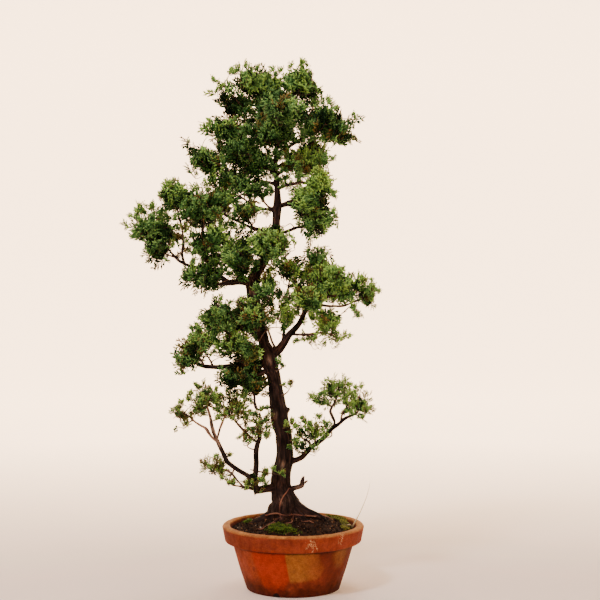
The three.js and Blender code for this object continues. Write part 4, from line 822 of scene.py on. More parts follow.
def scale_leaves(name, settings, roughness):
    """Cypress scale leaves: a thin waxy skin, deep green at the base of a spray and yellower at its
    growing tips, browner where it dies back. The map's height picks the tone. Each slip is also painted
    dark towards its base, as shade inside the spray."""
    material, shader, add = new_material(name)
    colours = (settings.deep, settings.mid, settings.lime, settings.rust)
    deep, mid, lime, rust = (np.array(colour[:3]) for colour in colours)
    young = lime * (1, 1, 0.6)  # new growth holds little blue
    # The lowest tones are nearly black: painted shade for the plumes deep inside a cloud.
    body = [
        (0.04, 0.2 * deep), (0.22, deep), (0.42, mid), (0.6, 0.6 * mid + 0.45 * young),
        (0.74, 0.35 * mid + 0.75 * young), (0.83, 0.5 * rust + 0.3 * mid), (0.9, rust),
        (0.97, 0.45 * rust),
    ]
    growth = [
        (0.04, 0.4 * deep), (0.22, 0.6 * mid + 0.2 * lime), (0.42, 0.3 * mid + 1.1 * lime),
        (0.6, 1.8 * young), (0.74, 2.1 * young), (0.83, rust + 0.5 * lime), (0.9, 1.7 * rust),
        (0.97, rust),
    ]
    spot = add("UVMap", [], uv_map="OFBake")
    out_along, tone, _ = add("SeparateXYZ", [spot]).node.outputs
    body, growth = add("ValToRGB", [tone], body), add("ValToRGB", [tone], growth)
    # Painted shade: each slip is painted much darker towards its base, inside the spray.
    painted_shade_base = lay_over(add, body, (1, (0.19, 0.18, 0.18, 1)), blend="MULTIPLY")
    along = add("MapRange", [out_along, 0.1, 0.55, 0, 1])
    end = add("MapRange", [out_along, 0.5, 0.92, 0, 1])
    base = lay_over(add, painted_shade_base, (along, body), (end, growth))
    plug(shader, {"Base Color": base, "Roughness": roughness, GLOSS: 0.1})
    return material


def grit(settings):
    """Gritty potting soil: fired clay and lava grit in bark mould, dark when damp."""
    material, shader, add = new_material("gritty potting soil")
    soil = np.array(settings.soil[:3])
    place = add("TexCoord", [], out="Object")
    tone = add("Attribute", [], out="Fac", attribute_name="tone")
    dust = add("TexNoise", {"Vector": place, "Scale": per(1.4), "Detail": 4})
    stops = [
        (0, 0.3 * soil), (0.35, soil), (0.6, "#452d1c"), (0.78, "#6b4c34"), (0.9, "#8a6a4c"),
        (0.97, "#c9bba6"),
    ]
    base = add("ValToRGB", [tone], stops)
    shade = add("MapRange", [dust, 0.3, 0.7, 0.5, 1.35])
    base = lay_over(add, base, (1, shade), blend="MULTIPLY")
    bump = add("Bump", {"Height": dust, "Strength": 0.6, "Distance": MM})
    plug(shader, {"Base Color": base, "Roughness": 0.95, "Normal": bump, GLOSS: 0.1})
    return material


def moss_green(settings):
    """Cushion moss: tiny soft leaves, vivid green when damp and yellower in the sun."""
    material, shader, add = new_material("cushion moss")
    moss = np.array(settings.moss[:3])
    place = add("TexCoord", [], out="Object")
    fine = add("TexNoise", {"Vector": place, "Scale": per(1.8), "Detail": 3})
    green = add("ValToRGB", [fine], [(0.36, 0.16 * moss), (0.52, moss), (0.7, "#9fb346")])
    dry = add("ValToRGB", [fine], [(0.36, "#2c260b"), (0.52, "#88842e"), (0.7, "#cfc26c")])
    side = add("SeparateXYZ", [place])
    sunny = add("MapRange", [side, 0.03, 0.05, 0, 0.85])
    # The cushion and the feet of the leaves are painted dark, as the shade among the leaves.
    tip = add("Attribute", [], out="Fac", attribute_name="tip")
    light = add("MapRange", [tip, 0, 1, 0.13, 1.15])
    base = lay_over(add, lay_over(add, green, (sunny, dry)), (1, light), blend="MULTIPLY")
    plug(shader, {"Base Color": base, "Roughness": 0.9, GLOSS: 0.1})
    return material


def straw():
    """A dry grass stem: pale, fibrous and slightly glossy, browner towards its foot."""
    material, shader, add = new_material("dry straw")
    place = add("TexCoord", [], out="Object")
    long = add("Mapping", {"Vector": place, "Scale": (1, 1, 0.12)})
    fibre = add("TexNoise", {"Vector": long, "Scale": per(0.5), "Detail": 3})
    pale = add("ValToRGB", [fibre], [(0.35, "#a08a58"), (0.6, "#d9cda2")])
    height = add("SeparateXYZ", [place], out="Z")
    foot = add("MapRange", [height, 0.077, 0.09, 0.7, 0])
    plug(shader, {"Base Color": lay_over(add, pale, (foot, "#7d5f36")), "Roughness": 0.55})
    return material


def net_plastic():
    """Moulded polypropylene net: dark grey, satin, dusty with soil in its pores."""
    material, shader, add = new_material("moulded polypropylene net")
    place = add("TexCoord", [], out="Object")
    dust = add("TexNoise", {"Vector": place, "Scale": per(1.5), "Detail": 3})
    base = add("ValToRGB", [dust], [(0.4, "#1f2325"), (0.62, "#3a3d3e"), (0.8, "#6a5a48")])
    rough = add("MapRange", [dust, 0.4, 0.8, 0.38, 0.8])
    plug(shader, {"Base Color": base, "Roughness": rough, "IOR": 1.49})
    return material


def plaster(colour, glow):
    """The studio's matt pale plaster, which glows a little as a lit backdrop does."""
    material, shader, add = new_material("pale plaster")
    colour = np.array(colour[:3])
    place = add("TexCoord", [], out="Object")
    cloud = add("TexNoise", {"Vector": place, "Scale": 1.2, "Detail": 2})
    base = add("ValToRGB", [cloud], [(0.35, 0.96 * colour), (0.65, colour)])
    # The glow is strongest straight behind the tree, and fades towards the front and the foot.
    depth = add("SeparateXYZ", [place], out="Y")
    flat = add("VectorMath", [place, (1, 1, 0)], operation="MULTIPLY")
    away = add("VectorMath", [flat], operation="LENGTH")
    back = add("Math", [depth, away], operation="DIVIDE")
    back = add("MapRange", [back, -0.1, 0.95, 0, 1])
    back = add("Math", [back, 1.7], operation="POWER")
    lit = add("MapRange", [back, 0, 1, 0.045 * glow, glow])
    wall = add("MapRange", [away, 0.25, 1.5, 0.05, 1])
    lit = add("Math", [lit, wall], operation="MULTIPLY")
    glowing = {"Emission Color": "#ffdab0", "Emission Strength": lit}
    plug(shader, {"Base Color": base, "Roughness": 0.95, **glowing})
    return material


# ---- Settings a user would change ----
def amount(name, description, default, **more):
    return bpy.props.FloatProperty(
        name=name, description=description, default=default, min=0, **more
    )


def colour(name, description, code):
    return bpy.props.FloatVectorProperty(
        name=name, description=description, default=from_hex(code), size=4, subtype="COLOR",
        min=0, max=1,
    )


length = functools.partial(amount, subtype="DISTANCE", unit="LENGTH")
POT_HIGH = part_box("clay_pot")[1]


class PotSettings(bpy.types.PropertyGroup):
    rim_radius: length("Rim radius", "Outside radius of the pot's collar", POT_HIGH.x)
    height: length("Height", "Height of the pot", POT_HIGH.z)
    clay: colour("Clay", "Main colour of the fired clay", "#81371e")
    ochre: colour("Ochre", "Colour of the ochre patches", "#8a5424")


class GroundSettings(bpy.types.PropertyGroup):
    soil: colour("Soil", "Main colour of the damp soil", "#261912")
    moss: colour("Moss", "Main colour of the moss", "#5a7a29")
    crumbs: bpy.props.IntProperty(
        name="Crumbs", description="Loose lumps on the soil", default=2600, min=0
    )


class WoodSettings(bpy.types.PropertyGroup):
    bark: colour("Bark", "Main colour of the bark", "#1b1210")
    torn: colour("Torn bark", "Colour of the fresh layer where bark is torn", "#7d6150")
    ridge: length("Ridge depth", "Depth of the bark's ridges on the lower trunk", 1.1 * MM)


class FoliageSettings(bpy.types.PropertyGroup):
    deep: colour("Deep green", "Shaded sprays", "#1f4212")
    mid: colour("Mid green", "Most sprays", "#477d3a")
    lime: colour("Lime", "Young sprays in the light", "#92b86c")
    rust: colour("Rust", "Sprays that die back", "#6c5a2d")
    fullness: amount("Fullness", "Number of plumes against the usual", 1, subtype="FACTOR")


class StageSettings(bpy.types.PropertyGroup):
    plaster: colour("Plaster", "Colour of the floor and backdrop", "#f9ede0")
    glow: amount("Glow", "How brightly the backdrop is lit", 4.05)
    key: amount("Key light", "Power of the main soft light", 38, subtype="POWER", unit="POWER")


# ---- Stage ----
TREE_MIDDLE = Vector((-0.04, 0, 0.38))
SOFT_LIGHTS = {  # place, width, and share of the key light's power
    "Key": ((-1.0, -1.6, 2.3), 0.5, 1),
    "Fill": ((1.7, -1.6, 1.2), 1.4, 0.12),
    "Top": ((0.2, 0.7, 2.4), 0.8, 0.3),
}
LIGHT_TINT = (1, 0.98, 1.14)
FLOOR_EDGE, FLOOR_CURVE = 2.4, 1.1  # where the floor starts to curve up, and the curve's radius


class BONSAI_OT_stage(bpy.types.Operator):
    """Makes the pale floor that curves up all round, the soft lights and the camera"""

    bl_idname = "bonsai.stage"
    bl_label = "Stage"
    bl_options = {"REGISTER", "UNDO"}

    def execute(self, context):
        settings = context.scene.bonsai_stage
        wall = FLOOR_EDGE + FLOOR_CURVE
        profile = [(0, 0), (0.15, 0), (0.5, 0), (1.2, 0)]
        for a in np.linspace(0, math.pi / 2, 12):
            profile.append((FLOOR_EDGE + FLOOR_CURVE * math.sin(a), FLOOR_CURVE * (1 - math.cos(a))))
        profile += [(wall, 1.9), (wall, 2.8)]
        floor = spun("studio_floor", profile, 96, plaster(settings.plaster[:], settings.glow))
        make_active(floor)
        bpy.ops.object.shade_smooth()

        world = bpy.data.worlds.new("Studio")
        world.use_nodes = True
        plug(world.node_tree.nodes["Background"], ["#fbf5ec", 0.15])
        context.scene.world = world
        for name, (place, width, share) in SOFT_LIGHTS.items():
            light = bpy.data.lights.new(name, "AREA")
            light.shape, light.size, light.color = "DISK", width, LIGHT_TINT
            light.energy = settings.key * share
            lamp = bpy.data.objects.new(name, light)
            lamp.location = place
            lamp.rotation_euler = (TREE_MIDDLE - Vector(place)).to_track_quat("-Z", "Y").to_euler()
            context.collection.objects.link(lamp)

        camera = bpy.data.objects.new("Camera", bpy.data.cameras.new("Camera"))
        camera.data.lens = 87.6
        camera.location = VIEWPOINT
        camera.rotation_euler = (math.radians(88.12), 0, 0)
        context.collection.objects.link(camera)
        context.scene.camera = camera
        return {"FINISHED"}


# ---- Pot, screens and ground ----
def arc(centre, radius, start, end, steps):
    angles = np.radians(np.linspace(start, end, steps))
    return [(centre[0] + radius * math.cos(a), centre[1] + radius * math.sin(a)) for a in angles]


def subdivided(profile, pitch):
    """The same profile with no step longer than pitch."""
    made = [profile[0]]
    for (r0, z0), (r1, z1) in zip(profile, profile[1:]):
        count = max(1, math.ceil(math.hypot(r1 - r0, z1 - z0) / pitch))
        made += [(r0 + (r1 - r0) * k / count, z0 + (z1 - z0) * k / count) for k in range(1, count + 1)]
    return made


def ramp(values, start, width):
    """0 before the start, 1 from one width on, and straight between them."""
    return np.clip((values - start) / width, 0, 1)


# The pot's section in millimetres: the foot, the wall, the collar and its rounded lip.
POT_OUTSIDE = [
    (0, 0), (30, 0), (57, 0), *arc((57.8, 1.8), 1.8, -90, -10, 4), (68.6, 29), (76.8, 57.5),
    *arc((79, 58.2), 2, 190, 100, 4), (83.8, 60.6), *arc((84.6, 62.8), 2.2, -80, -5, 5),
    *arc((87, 79), 3, 0, 90, 7),
]
POT_INSIDE = [
    *arc((82.5, 80), 2, 90, 180, 5), (79.4, 73), (78.5, 67), (70, 57), (55.2, 13),
    *arc((51.5, 11.2), 3.2, -10, -90, 4), (30, 8), (0, 8),
]
SECTION_RADIUS, SECTION_HEIGHT = 90, 82
LIP_MIDDLE = 0.0845  # the radius halfway between the lip's two sides
UNDER_COLLAR = 0.0586  # the height of the groove under the collar
HOLE_RADIUS, HOLE_FROM_AXIS = 0.006, 0.03


class BONSAI_OT_clay_pot(bpy.types.Operator):
    """Makes the thrown clay pot with its thick collar and three drain holes"""

    bl_idname = "bonsai.clay_pot"
    bl_label = "Clay pot"
    bl_options = {"REGISTER", "UNDO"}

    def execute(self, context):
        settings = context.scene.bonsai_pot
        wide, tall = settings.rim_radius / SECTION_RADIUS, settings.height / SECTION_HEIGHT
        section = subdivided(POT_OUTSIDE, 2.4) + subdivided(POT_INSIDE, 4)
        profile = [(r * wide, z * tall) for r, z in section]
        pot = spun("clay_pot_thrown", profile, 160, terracotta(settings))

        # The thrower's fingers leave faint rings; the rim is worn and slightly out of round.
        points, _ = arrays_of(pot.data)
        radius, height = np.hypot(points[:, 0], points[:, 1]), points[:, 2]
        outward = points[:, :2] / np.maximum(radius, SAME_PLACE)[:, None]
        wall = ramp(radius, 0.058, 0.004) * ramp(height, 0, 0.004)
        rings = np.sin(height / 0.0052 * 2 * math.pi + 3 * noise(points, 0.05)) * 0.1 * MM
        wobble = (noise(points, 0.045, 1) - 0.5) * 0.7 * MM
        points[:, :2] += outward * ((rings + wobble) * wall)[:, None]
        rim = ramp(height, 0.0775, 0.003)
        chips = np.clip(noise(points, 0.006, 2) - 0.66, 0, 1) * 4 * MM
        points[:, :2] -= outward * (chips * rim)[:, None] * np.sign(radius - LIP_MIDDLE)[:, None]
        points[:, 2] -= rim * (noise(points, 0.03, 3) * 0.4 + noise(points, 0.007, 4) * 0.3) * MM
        place_vertices(pot.data, points)

        for angle in (math.pi / 2 + turn * 2 * math.pi / 3 for turn in range(3)):
            x, y = HOLE_FROM_AXIS * math.cos(angle), HOLE_FROM_AXIS * math.sin(angle)
            clear_selection()
            bpy.ops.mesh.primitive_cylinder_add(
                vertices=36, radius=HOLE_RADIUS, depth=0.02, location=(x, y, 0.004)
            )
            cutter = context.object
            apply_modifier(pot, "BOOLEAN", operation="DIFFERENCE", object=cutter, solver="EXACT")
            bpy.data.objects.remove(cutter)

        # Soil and dirt darken the inside below the rim, and a shadow is painted on the wall under the
        # collar.
        points, _ = arrays_of(pot.data)
        normals = normals_of(pot.data)
        height, facing_up = points[:, 2], normals[:, 2]
        inward = -dots(normals[:, :2], unit(points[:, :2]))
        inner = (height > 0.006) & (np.hypot(*points[:, :2].T) < LIP_MIDDLE)
        inner &= (inward > 0.3) | (facing_up > 0.6)
        damp = np.where(inner, ramp(height, 0.0805, -0.006) * 0.62, 0)
        # Painted shadow: a thin dark line on the wall under the collar, where shade falls.
        painted_collar_shadow = np.exp(-(((height - UNDER_COLLAR) / 0.0012) ** 2))
        painted_collar_shadow = np.where((inward < 0.3) & (facing_up < 0.6), painted_collar_shadow, 0)
        give_attribute(pot, "damp", np.maximum(damp, painted_collar_shadow))
        make_active(pot)
        bpy.ops.object.shade_smooth_by_angle(angle=CREASE)
        hand_over(pot, "terracotta", "clay_pot")
        return {"FINISHED"}


class BONSAI_OT_drain_screens(bpy.types.Operator):
    """Gives the net screens over the drain holes their plastic"""

    bl_idname = "bonsai.drain_screens"
    bl_label = "Drain screens"
    bl_options = {"REGISTER", "UNDO"}

    def execute(self, context):
        material = net_plastic()
        for number in (1, 2, 3):
            for slot in frame["nodes"][f"drain_screen_{number}"].material_slots:
                slot.material = material
        return {"FINISHED"}


# In millimetres: the soil's height at the wall and its rise at the trunk, and how far from
# the axis crumbs and moss lie.
SOIL_EDGE, SOIL_RISE, SOIL_REACH = 76.6, 17, 76


def soil_height(places):
    """Height of the mounded soil at some (x, y), in metres."""
    radius = np.hypot(places[:, 0], places[:, 1]) / MM
    rise = np.interp(radius, (0, 26, 48, 66, 77), (1, 0.91, 0.53, 0.18, 0))
    flat = np.column_stack([places[:, :2], np.zeros(len(places))])
    lumps = (noise(flat, 0.009, 5) - 0.5) * 3 + (noise(flat, 0.0035, 6) - 0.5) * 1.4
    return (SOIL_EDGE + SOIL_RISE * rise + lumps) * MM


def small_lumps(draw, count):
    """A few dented lumps of 20 faces, from one small ball."""
    clear_selection()
    bpy.ops.mesh.primitive_ico_sphere_add(subdivisions=1, radius=1)
    ball = bpy.context.object
    points, faces = arrays_of(ball.data)
    bpy.data.objects.remove(ball)
    return [points * draw.uniform(0.62, 1.15, (len(points), 1)) for _ in range(count)], faces


def turns(draw, count):
    """Random rotation matrices."""
    first = unit(draw.normal(size=(count, 3)))
    second = unit(np.cross(first, draw.normal(size=(count, 3))))
    return np.stack([first, second, np.cross(first, second)], axis=2)


class BONSAI_OT_soil(bpy.types.Operator):
    """Makes the mounded bed of soil and the loose crumbs on it"""

    bl_idname = "bonsai.soil"
    bl_label = "Soil"
    bl_options = {"REGISTER", "UNDO"}

    def execute(self, context):
        settings = context.scene.bonsai_ground
        material = grit(settings)
        section = [(0, 9.7), (50, 9.7), (54.2, 11.6), (69.6, 57), (78, 67), (78.4, 75)]
        section += [(r, SOIL_EDGE) for r in (76.8, *range(74, 26, -3), 26, 22, 18, 14, 9, 4, 0)]
        bed = spun("soil_bed", [(r * MM, z * MM) for r, z in section], 144, material)
        points, _ = arrays_of(bed.data)
        upper = points[:, 2] > 76.5 * MM
        points[upper, 2] = soil_height(points[upper])
        place_vertices(bed.data, points)
        give_attribute(bed, "tone", 0.1 + 0.5 * noise(points, 0.004, 7))
        hand_over(bed, "soil", "potting_soil")

        draw = draw_for("crumbs")
        count = settings.crumbs
        radius = np.sqrt(draw.uniform(0.02, 1, count)) * SOIL_REACH * MM
        angle = draw.uniform(0, 2 * math.pi, count)
        places = np.column_stack([radius * np.cos(angle), radius * np.sin(angle), np.zeros(count)])
        places[:, 2] = soil_height(places) + draw.uniform(-0.3, 0.7, count) * MM
        sizes = draw.gamma(3, 0.36, count).clip(0.5, 2.6) * MM
        room = (77.5 * MM - sizes) / np.maximum(radius, SAME_PLACE)
        places[:, :2] *= np.minimum(1, room)[:, None]
        lumps, lump_faces = small_lumps(draw, 6)
        shapes, tones = [], []
        for place, size, turn in zip(places, sizes, turns(draw, count)):
            lump = lumps[draw.integers(len(lumps))]
            lump = lump * (1, draw.uniform(0.6, 1), draw.uniform(0.5, 0.9))
            shapes.append((place + size * lump @ turn.T, lump_faces))
            tones.append(np.full(len(lump), draw.beta(1.2, 2.2)))
        tree = search_tree(*arrays_of(bed.data))
        for x, z in PALE_GRIT:
            grain = met_from_front(tree, x, z, 0.5 * MM) + 1.1 * MM * lumps[0]
            shapes.append((grain, lump_faces))
            tones.append(np.ones(len(grain)))
        crumbs = build("soil_crumbs", *gather(shapes), material, smooth=False)
        give_attribute(crumbs, "tone", np.concatenate(tones))
        hand_over(crumbs, "soil")
        return {"FINISHED"}


LEAF_FACES = np.array([[0, 2, 1], [0, 1, 3], [1, 2, 3], [2, 0, 3]])
# For each moss node: how deep its cushion is sunk, and the number of leaves on it.
MOSS = {"moss_front": (0.66, 2400), "moss_right": (0.66, 2400), "moss_left": (0.92, 500)}


def rounded_copy(node, sunk):
    """The points, triangles and normals of a frame node's shape as a soft uneven cushion."""
    cushion = frame["nodes"][node].copy()
    cushion.data = frame["nodes"][node].data.copy()
    cushion.parent = None
    for key in list(cushion.keys()):
        del cushion[key]
    bpy.context.collection.objects.link(cushion)
    make_active(cushion)
    bpy.ops.object.mode_set(mode="EDIT")
    bpy.ops.mesh.select_all(action="SELECT")
    bpy.ops.mesh.remove_doubles(threshold=SAME_PLACE)
    bpy.ops.object.mode_set(mode="OBJECT")
    apply_modifier(cushion, "REMESH", mode="VOXEL", voxel_size=0.9 * MM)
    apply_modifier(cushion, "SMOOTH", factor=0.6, iterations=4)
    points, faces = arrays_of(cushion.data)
    normals = normals_of(cushion.data)
    bpy.data.objects.remove(cushion)
    swell = (noise(points, 0.006, 8) - sunk) * 6 + (noise(points, 0.0022, 9) - 0.5) * 1.6
    return points + normals * (swell * MM)[:, None], faces, normals


class BONSAI_OT_moss(bpy.types.Operator):
    """Makes the moss cushions with their tiny upright leaves"""

    bl_idname = "bonsai.moss"
    bl_label = "Moss"
    bl_options = {"REGISTER", "UNDO"}

    def execute(self, context):
        material = moss_green(context.scene.bonsai_ground)
        for node, (sunk, leaves) in MOSS.items():
            draw = draw_for(node)
            points, faces, normals = rounded_copy(node, sunk)

            # Tiny leaves stand on the cushion, and more of them in clumps on the soil round it.
            open_side = np.flatnonzero(normals[:, 2] > 0.1)
            bare = points[open_side, 2] < soil_height(points[open_side]) - 0.2 * MM
            open_side = open_side[~bare]
            inner = draw.choice(open_side, min(len(open_side), leaves), replace=False)
            outer = draw.choice(open_side, leaves // 3)
            middle = points[open_side].mean(axis=0)
            beyond = middle + (points[outer] - middle) * draw.uniform(1, 1.5, (len(outer), 1))
            beyond[:, 2] = soil_height(beyond)
            kept = (noise(beyond, 0.005, 19) > 0.5) & (np.hypot(*beyond[:, :2].T) < SOIL_REACH * MM)
            feet = np.vstack([points[inner], beyond[kept]])
            leans = np.vstack([normals[inner], np.tile(UP, (kept.sum(), 1))])
            leans = unit(leans + UP * 0.8 + 0.45 * draw.normal(size=leans.shape))
            tufts = []
            for foot, lean, high in zip(feet, leans, 0.5 + noise(feet, 0.0045, 20)):
                side = unit(np.cross(lean, draw.normal(size=3)))
                wide = draw.uniform(0.3, 0.55) * MM
                tall = draw.uniform(0.9, 2.3) * high * MM
                foot = foot - lean * 0.3 * MM
                third = np.cross(lean, side)
                corners = (0, 2 * math.pi / 3, 4 * math.pi / 3)
                ring = [foot + wide * (math.cos(a) * side + math.sin(a) * third) for a in corners]
                tufts.append((np.array([*ring, foot + lean * tall]), LEAF_FACES))
            piece = build(f"{node}_cushion", *gather([(points, faces), *tufts]), material)
            # Leaf tips get 1 and the rest 0.1, which the material paints dark as shade among the leaves.
            tip = np.concatenate([np.full(len(points), 0.1), np.tile((0.1, 0.1, 0.1, 1), len(tufts))])
            give_attribute(piece, "tip", tip)
            hand_over(piece, "moss", node)
        return {"FINISHED"}


# The stem, its sheath and a withered blade: x, y, z and radius in millimetres.
DRY_GRASS = [
    [(75.3, -1, 76, 0.7), (77.4, -1, 81, 0.7), (80.5, -1.4, 87, 0.66), (84.5, -2, 95, 0.5),
     (88.5, -2.6, 104, 0.42), (92.5, -3, 114, 0.34), (95.5, -3, 124, 0.26), (98, -3, 136, 0.14)],
    [(75, -1, 77, 1), (77.4, -1, 81.6, 1.05), (80.2, -1.4, 86.4, 0.95), (83, -1.7, 92, 0.4)],
    [(75, -1, 77, 0.5), (73, -6, 81, 0.7), (69, -12, 82.5, 0.6), (64, -17, 80, 0.2)],
]


class BONSAI_OT_dry_grass(bpy.types.Operator):
    """Makes the dry grass stem at the rim, with a withered blade"""

    bl_idname = "bonsai.dry_grass"
    bl_label = "Dry grass"
    bl_options = {"REGISTER", "UNDO"}

    def execute(self, context):
        shapes = [tube(*follow(limb, 1.5 * MM)[:4], 8) for limb in DRY_GRASS]
        hand_over(build("dry_grass", *gather(shapes), straw()), "straw", "dry_grass_stem")
        return {"FINISHED"}


# ---- Wood ----
LIMBS = [*ROOTS, *LOW_LIMBS, *MIDDLE_LIMBS, *UPPER_LIMBS, *CROWN_LIMBS]
THICK = 2.1 * MM  # from this radius up, limbs are fused with the trunk into one smooth body
SHRINKAGE = 0.65 * MM  # what the fusing and smoothing takes off a limb's radius
ROUGHENED = 1.12  # how much wider the thin limbs are made, because they are roughened later
BARK_NAME = "fibrous cypress bark"
TWIG_TORN = 0.45  # how much of the fresh layer shows on the fine twigs
# Where bark is torn off or has peeled: x, y, z and radius in millimetres, and how bare it is.
TORN_BARK = [
    (-30, -4, 291, 6, 0.22), (-14, -12, 160, 5, 0.3), (-13, -12, 150, 4, 0.25),
    (-97, -17, 188, 7, 1), (-104, -17, 200, 14, 1.3), (-121, -20, 207, 14, 1.3),
    (-108, -11, 230, 16, 1.3), (-88, -8, 214, 13, 1.3), (-138, -12, 221, 9, 1.1),
    (-60, -7, 200, 8, 0.5), (8, -6, 129, 6, 0.4), (-50, 2, 377, 5, 0.6),
    (-22, -10, 221, 5, 0.4), (-11, -12, 112, 8, 0.25),
]


def torn_share(points):
    """How far the bark is torn at some points, from 0 to 1."""
    share = np.zeros(len(points))
    for x, y, z, reach, bare in TORN_BARK:
        away = np.linalg.norm(points - np.array((x, y, z)) * MM, axis=1) / (reach * MM)
        share = np.maximum(share, bare * np.clip(1.4 - away, 0, 1))
    return np.clip(share * (0.4 + noise(points, 0.004, 10)), 0, 1)


def tubes_of(limbs, spines):
    """The thick parts of some limbs as tubes, and the thin parts as tubes with their spines."""
    thick, thin = [], []
    for limb, spine in zip(limbs, spines):
        centres, radii, tangents, sides, _ = spine
        whole = limb is TRUNK or limb in ROOTS
        count = len(centres) if whole else np.count_nonzero(radii > THICK)
        if count > 2:
            swollen = radii[:count] + SHRINKAGE
            thick.append(tube(centres[:count], swollen, tangents[:count], sides[:count], 24))
        if count < len(centres) - 1:
            rings = slice(max(0, count - 3), None)
            shape = tube(centres[rings], radii[rings] * ROUGHENED, tangents[rings], sides[rings], 9)
            thin.append((shape, spine))
    return thick, thin


def grown_surface(tubes, spines, ridge):
    """Tubes fused into one body, with flutes, ridges, plates and knots. Returns its points and
    triangles, and what bark_place says of its points."""
    body = build("fused", *gather(tubes), None)
    apply_modifier(body, "REMESH", mode="VOXEL", voxel_size=1.15 * MM)
    apply_modifier(body, "SMOOTH", factor=0.5, iterations=5)
    points, faces = arrays_of(body.data)
    normals = normals_of(body.data)
    bpy.data.objects.remove(body)
    place, size = bark_place(points, [np.concatenate(parts) for parts in zip(*spines)])
    strong = np.clip(size / (13 * MM), 0.12, 1.25)
    flutes = noise(place * (1, 1, 2.2), 0.011, 11) - 0.5
    ridges = 0.5 - np.abs(noise(place, 0.0032, 12) - 0.5) * 2
    plates = noise(place * (1, 1, 1.6), 0.006, 13) - 0.5
    knots = np.clip(noise(points, 0.014, 14) - 0.62, 0, 1) * 3.2
    foot = ramp(points[:, 2], 0.122, -0.02) * np.clip(size / (6 * MM) - 0.4, 0, 1)
    knots += foot * np.clip(noise(points, 0.0085, 18) - 0.42, 0, 1) * 7
    depth = ridge * strong * (2.1 * flutes + 0.85 * ridges + 1.3 * plates + knots)
    return points + normals * depth[:, None], faces, place, size


def laid_root(root, tree):
    """The spine of a loose root that lies on what is behind or below it."""
    front = root in FRONT_ROOTS
    flat = [(a, 0, b, r) if front else (a, b, 0, r) for a, b, r in root]
    centres, radii, *_ = follow(flat, 1.5 * MM)
    laid = []
    for (x, y, z), lift in zip(centres / MM, radii + 0.2 * MM):
        if front:
            laid.append(met_from_front(tree, x, z, lift))
        else:
            above = Vector((x * MM, y * MM, 0.14))
            laid.append(np.array(tree.ray_cast(above, Vector((0, 0, -1)))[0]) + UP * lift)
    padded = np.vstack([laid[:1], laid[:1], laid, laid[-1:], laid[-1:]])
    laid = sum(padded[k : k + len(laid)] for k in range(5)) / 5
    radii = radii * (0.8 + 0.4 * noise(laid, 0.003, 21))
    return follow(np.column_stack([laid, radii]) / MM, 0.9 * MM, 0.35 * MM)


class BONSAI_OT_wood(bpy.types.Operator):
    """Makes the trunk, surface roots and branches as one piece, and the loose roots"""

    bl_idname = "bonsai.wood"
    bl_label = "Trunk and branches"
    bl_options = {"REGISTER", "UNDO"}

    def execute(self, context):
        settings = context.scene.bonsai_wood
        limbs = [TRUNK, *LIMBS]
        spines = [follow(limb, 2 * MM, KINK) for limb in limbs]
        thick, thin = tubes_of(limbs, spines)
        points, faces, place, size = grown_surface(thick, spines, settings.ridge)
        shapes, places, sizes = [(points, faces)], [place], [size]
        for (points, faces), spine in thin:
            place, size = bark_place(points, spine)
            away = np.linalg.norm(points[:, None] - spine[0][None], axis=2)
            middle = spine[0][np.argmin(away, axis=1)]
            rough = 1 + (noise(place, 0.0018, 15) - 0.5) * 0.5 + (noise(points, 0.007, 16) - 0.5) * 0.5
            shapes.append((middle + (points - middle) * rough[:, None], faces))
            places.append(place)
            sizes.append(size)
        points, faces = gather(shapes)
        wood = build("trunk_and_branches_grown", points, faces, bark(BARK_NAME, settings))
        give_attribute(wood, "bark", np.vstack(places))
        young = np.clip((1.6 * MM - np.concatenate(sizes)) / MM, 0, 0.5)
        give_attribute(wood, "torn", np.maximum(torn_share(points), young))
        hand_over(wood, "bark", "trunk_and_branches")

        soil = arrays_of(bpy.data.objects["soil_bed"].data)
        tree = search_tree(*gather([(points, faces), soil]))
        spines = [laid_root(root, tree) for root in (*FRONT_ROOTS, *REAR_ROOTS)]
        shapes = [tube(*spine[:4], 8) for spine in spines]
        places = [bark_place(shape[0], spine)[0] for shape, spine in zip(shapes, spines)]
        roots = build("loose_roots", *gather(shapes), root_skin())
        give_attribute(roots, "bark", np.vstack(places))
        hand_over(roots, "bark")
        return {"FINISHED"}


# ---- Foliage ----
# A slip is one branchlet clad in scale leaves: a keel between two ends, over a low broad waist.
SLIP_FACES = np.array([[0, 3, 1], [0, 2, 3], [0, 1, 2], [3, 2, 1]])
SLIP_WAIST = 0.58  # how far along a slip its waist lies
TONE_WIDTH = 0.006  # how wide a spray's strip in the colour map is
# Sprays: pairs of branchlets, how far they spread, and how far the spray droops.
SPRAY_PLANS = [(3, 0.5, 0.06), (4, 0.44, 0.16), (3, 0.55, -0.16), (4, 0.48, 0.25), (3, 0.5, -0.05)]
SPRAYS_PER_PLUME = 6
# Tones in the colour map: greens up to 0.75, then rust and dead brown. The lowest greens, nearly black,
# are painted shade for the plumes inside a cloud.
NEARLY_BLACK, DEAD = 0.04, 0.96
PAINTED_SHADE_TONES, DYING_TONES, DYING_TUFT_TONES = (0.04, 0.14), (0.79, 0.92), (0.79, 0.88)
FADED_LEFT, FADED_RIGHT = 0.42, 0.1  # shares of faded sprays in the tufts of the low tier


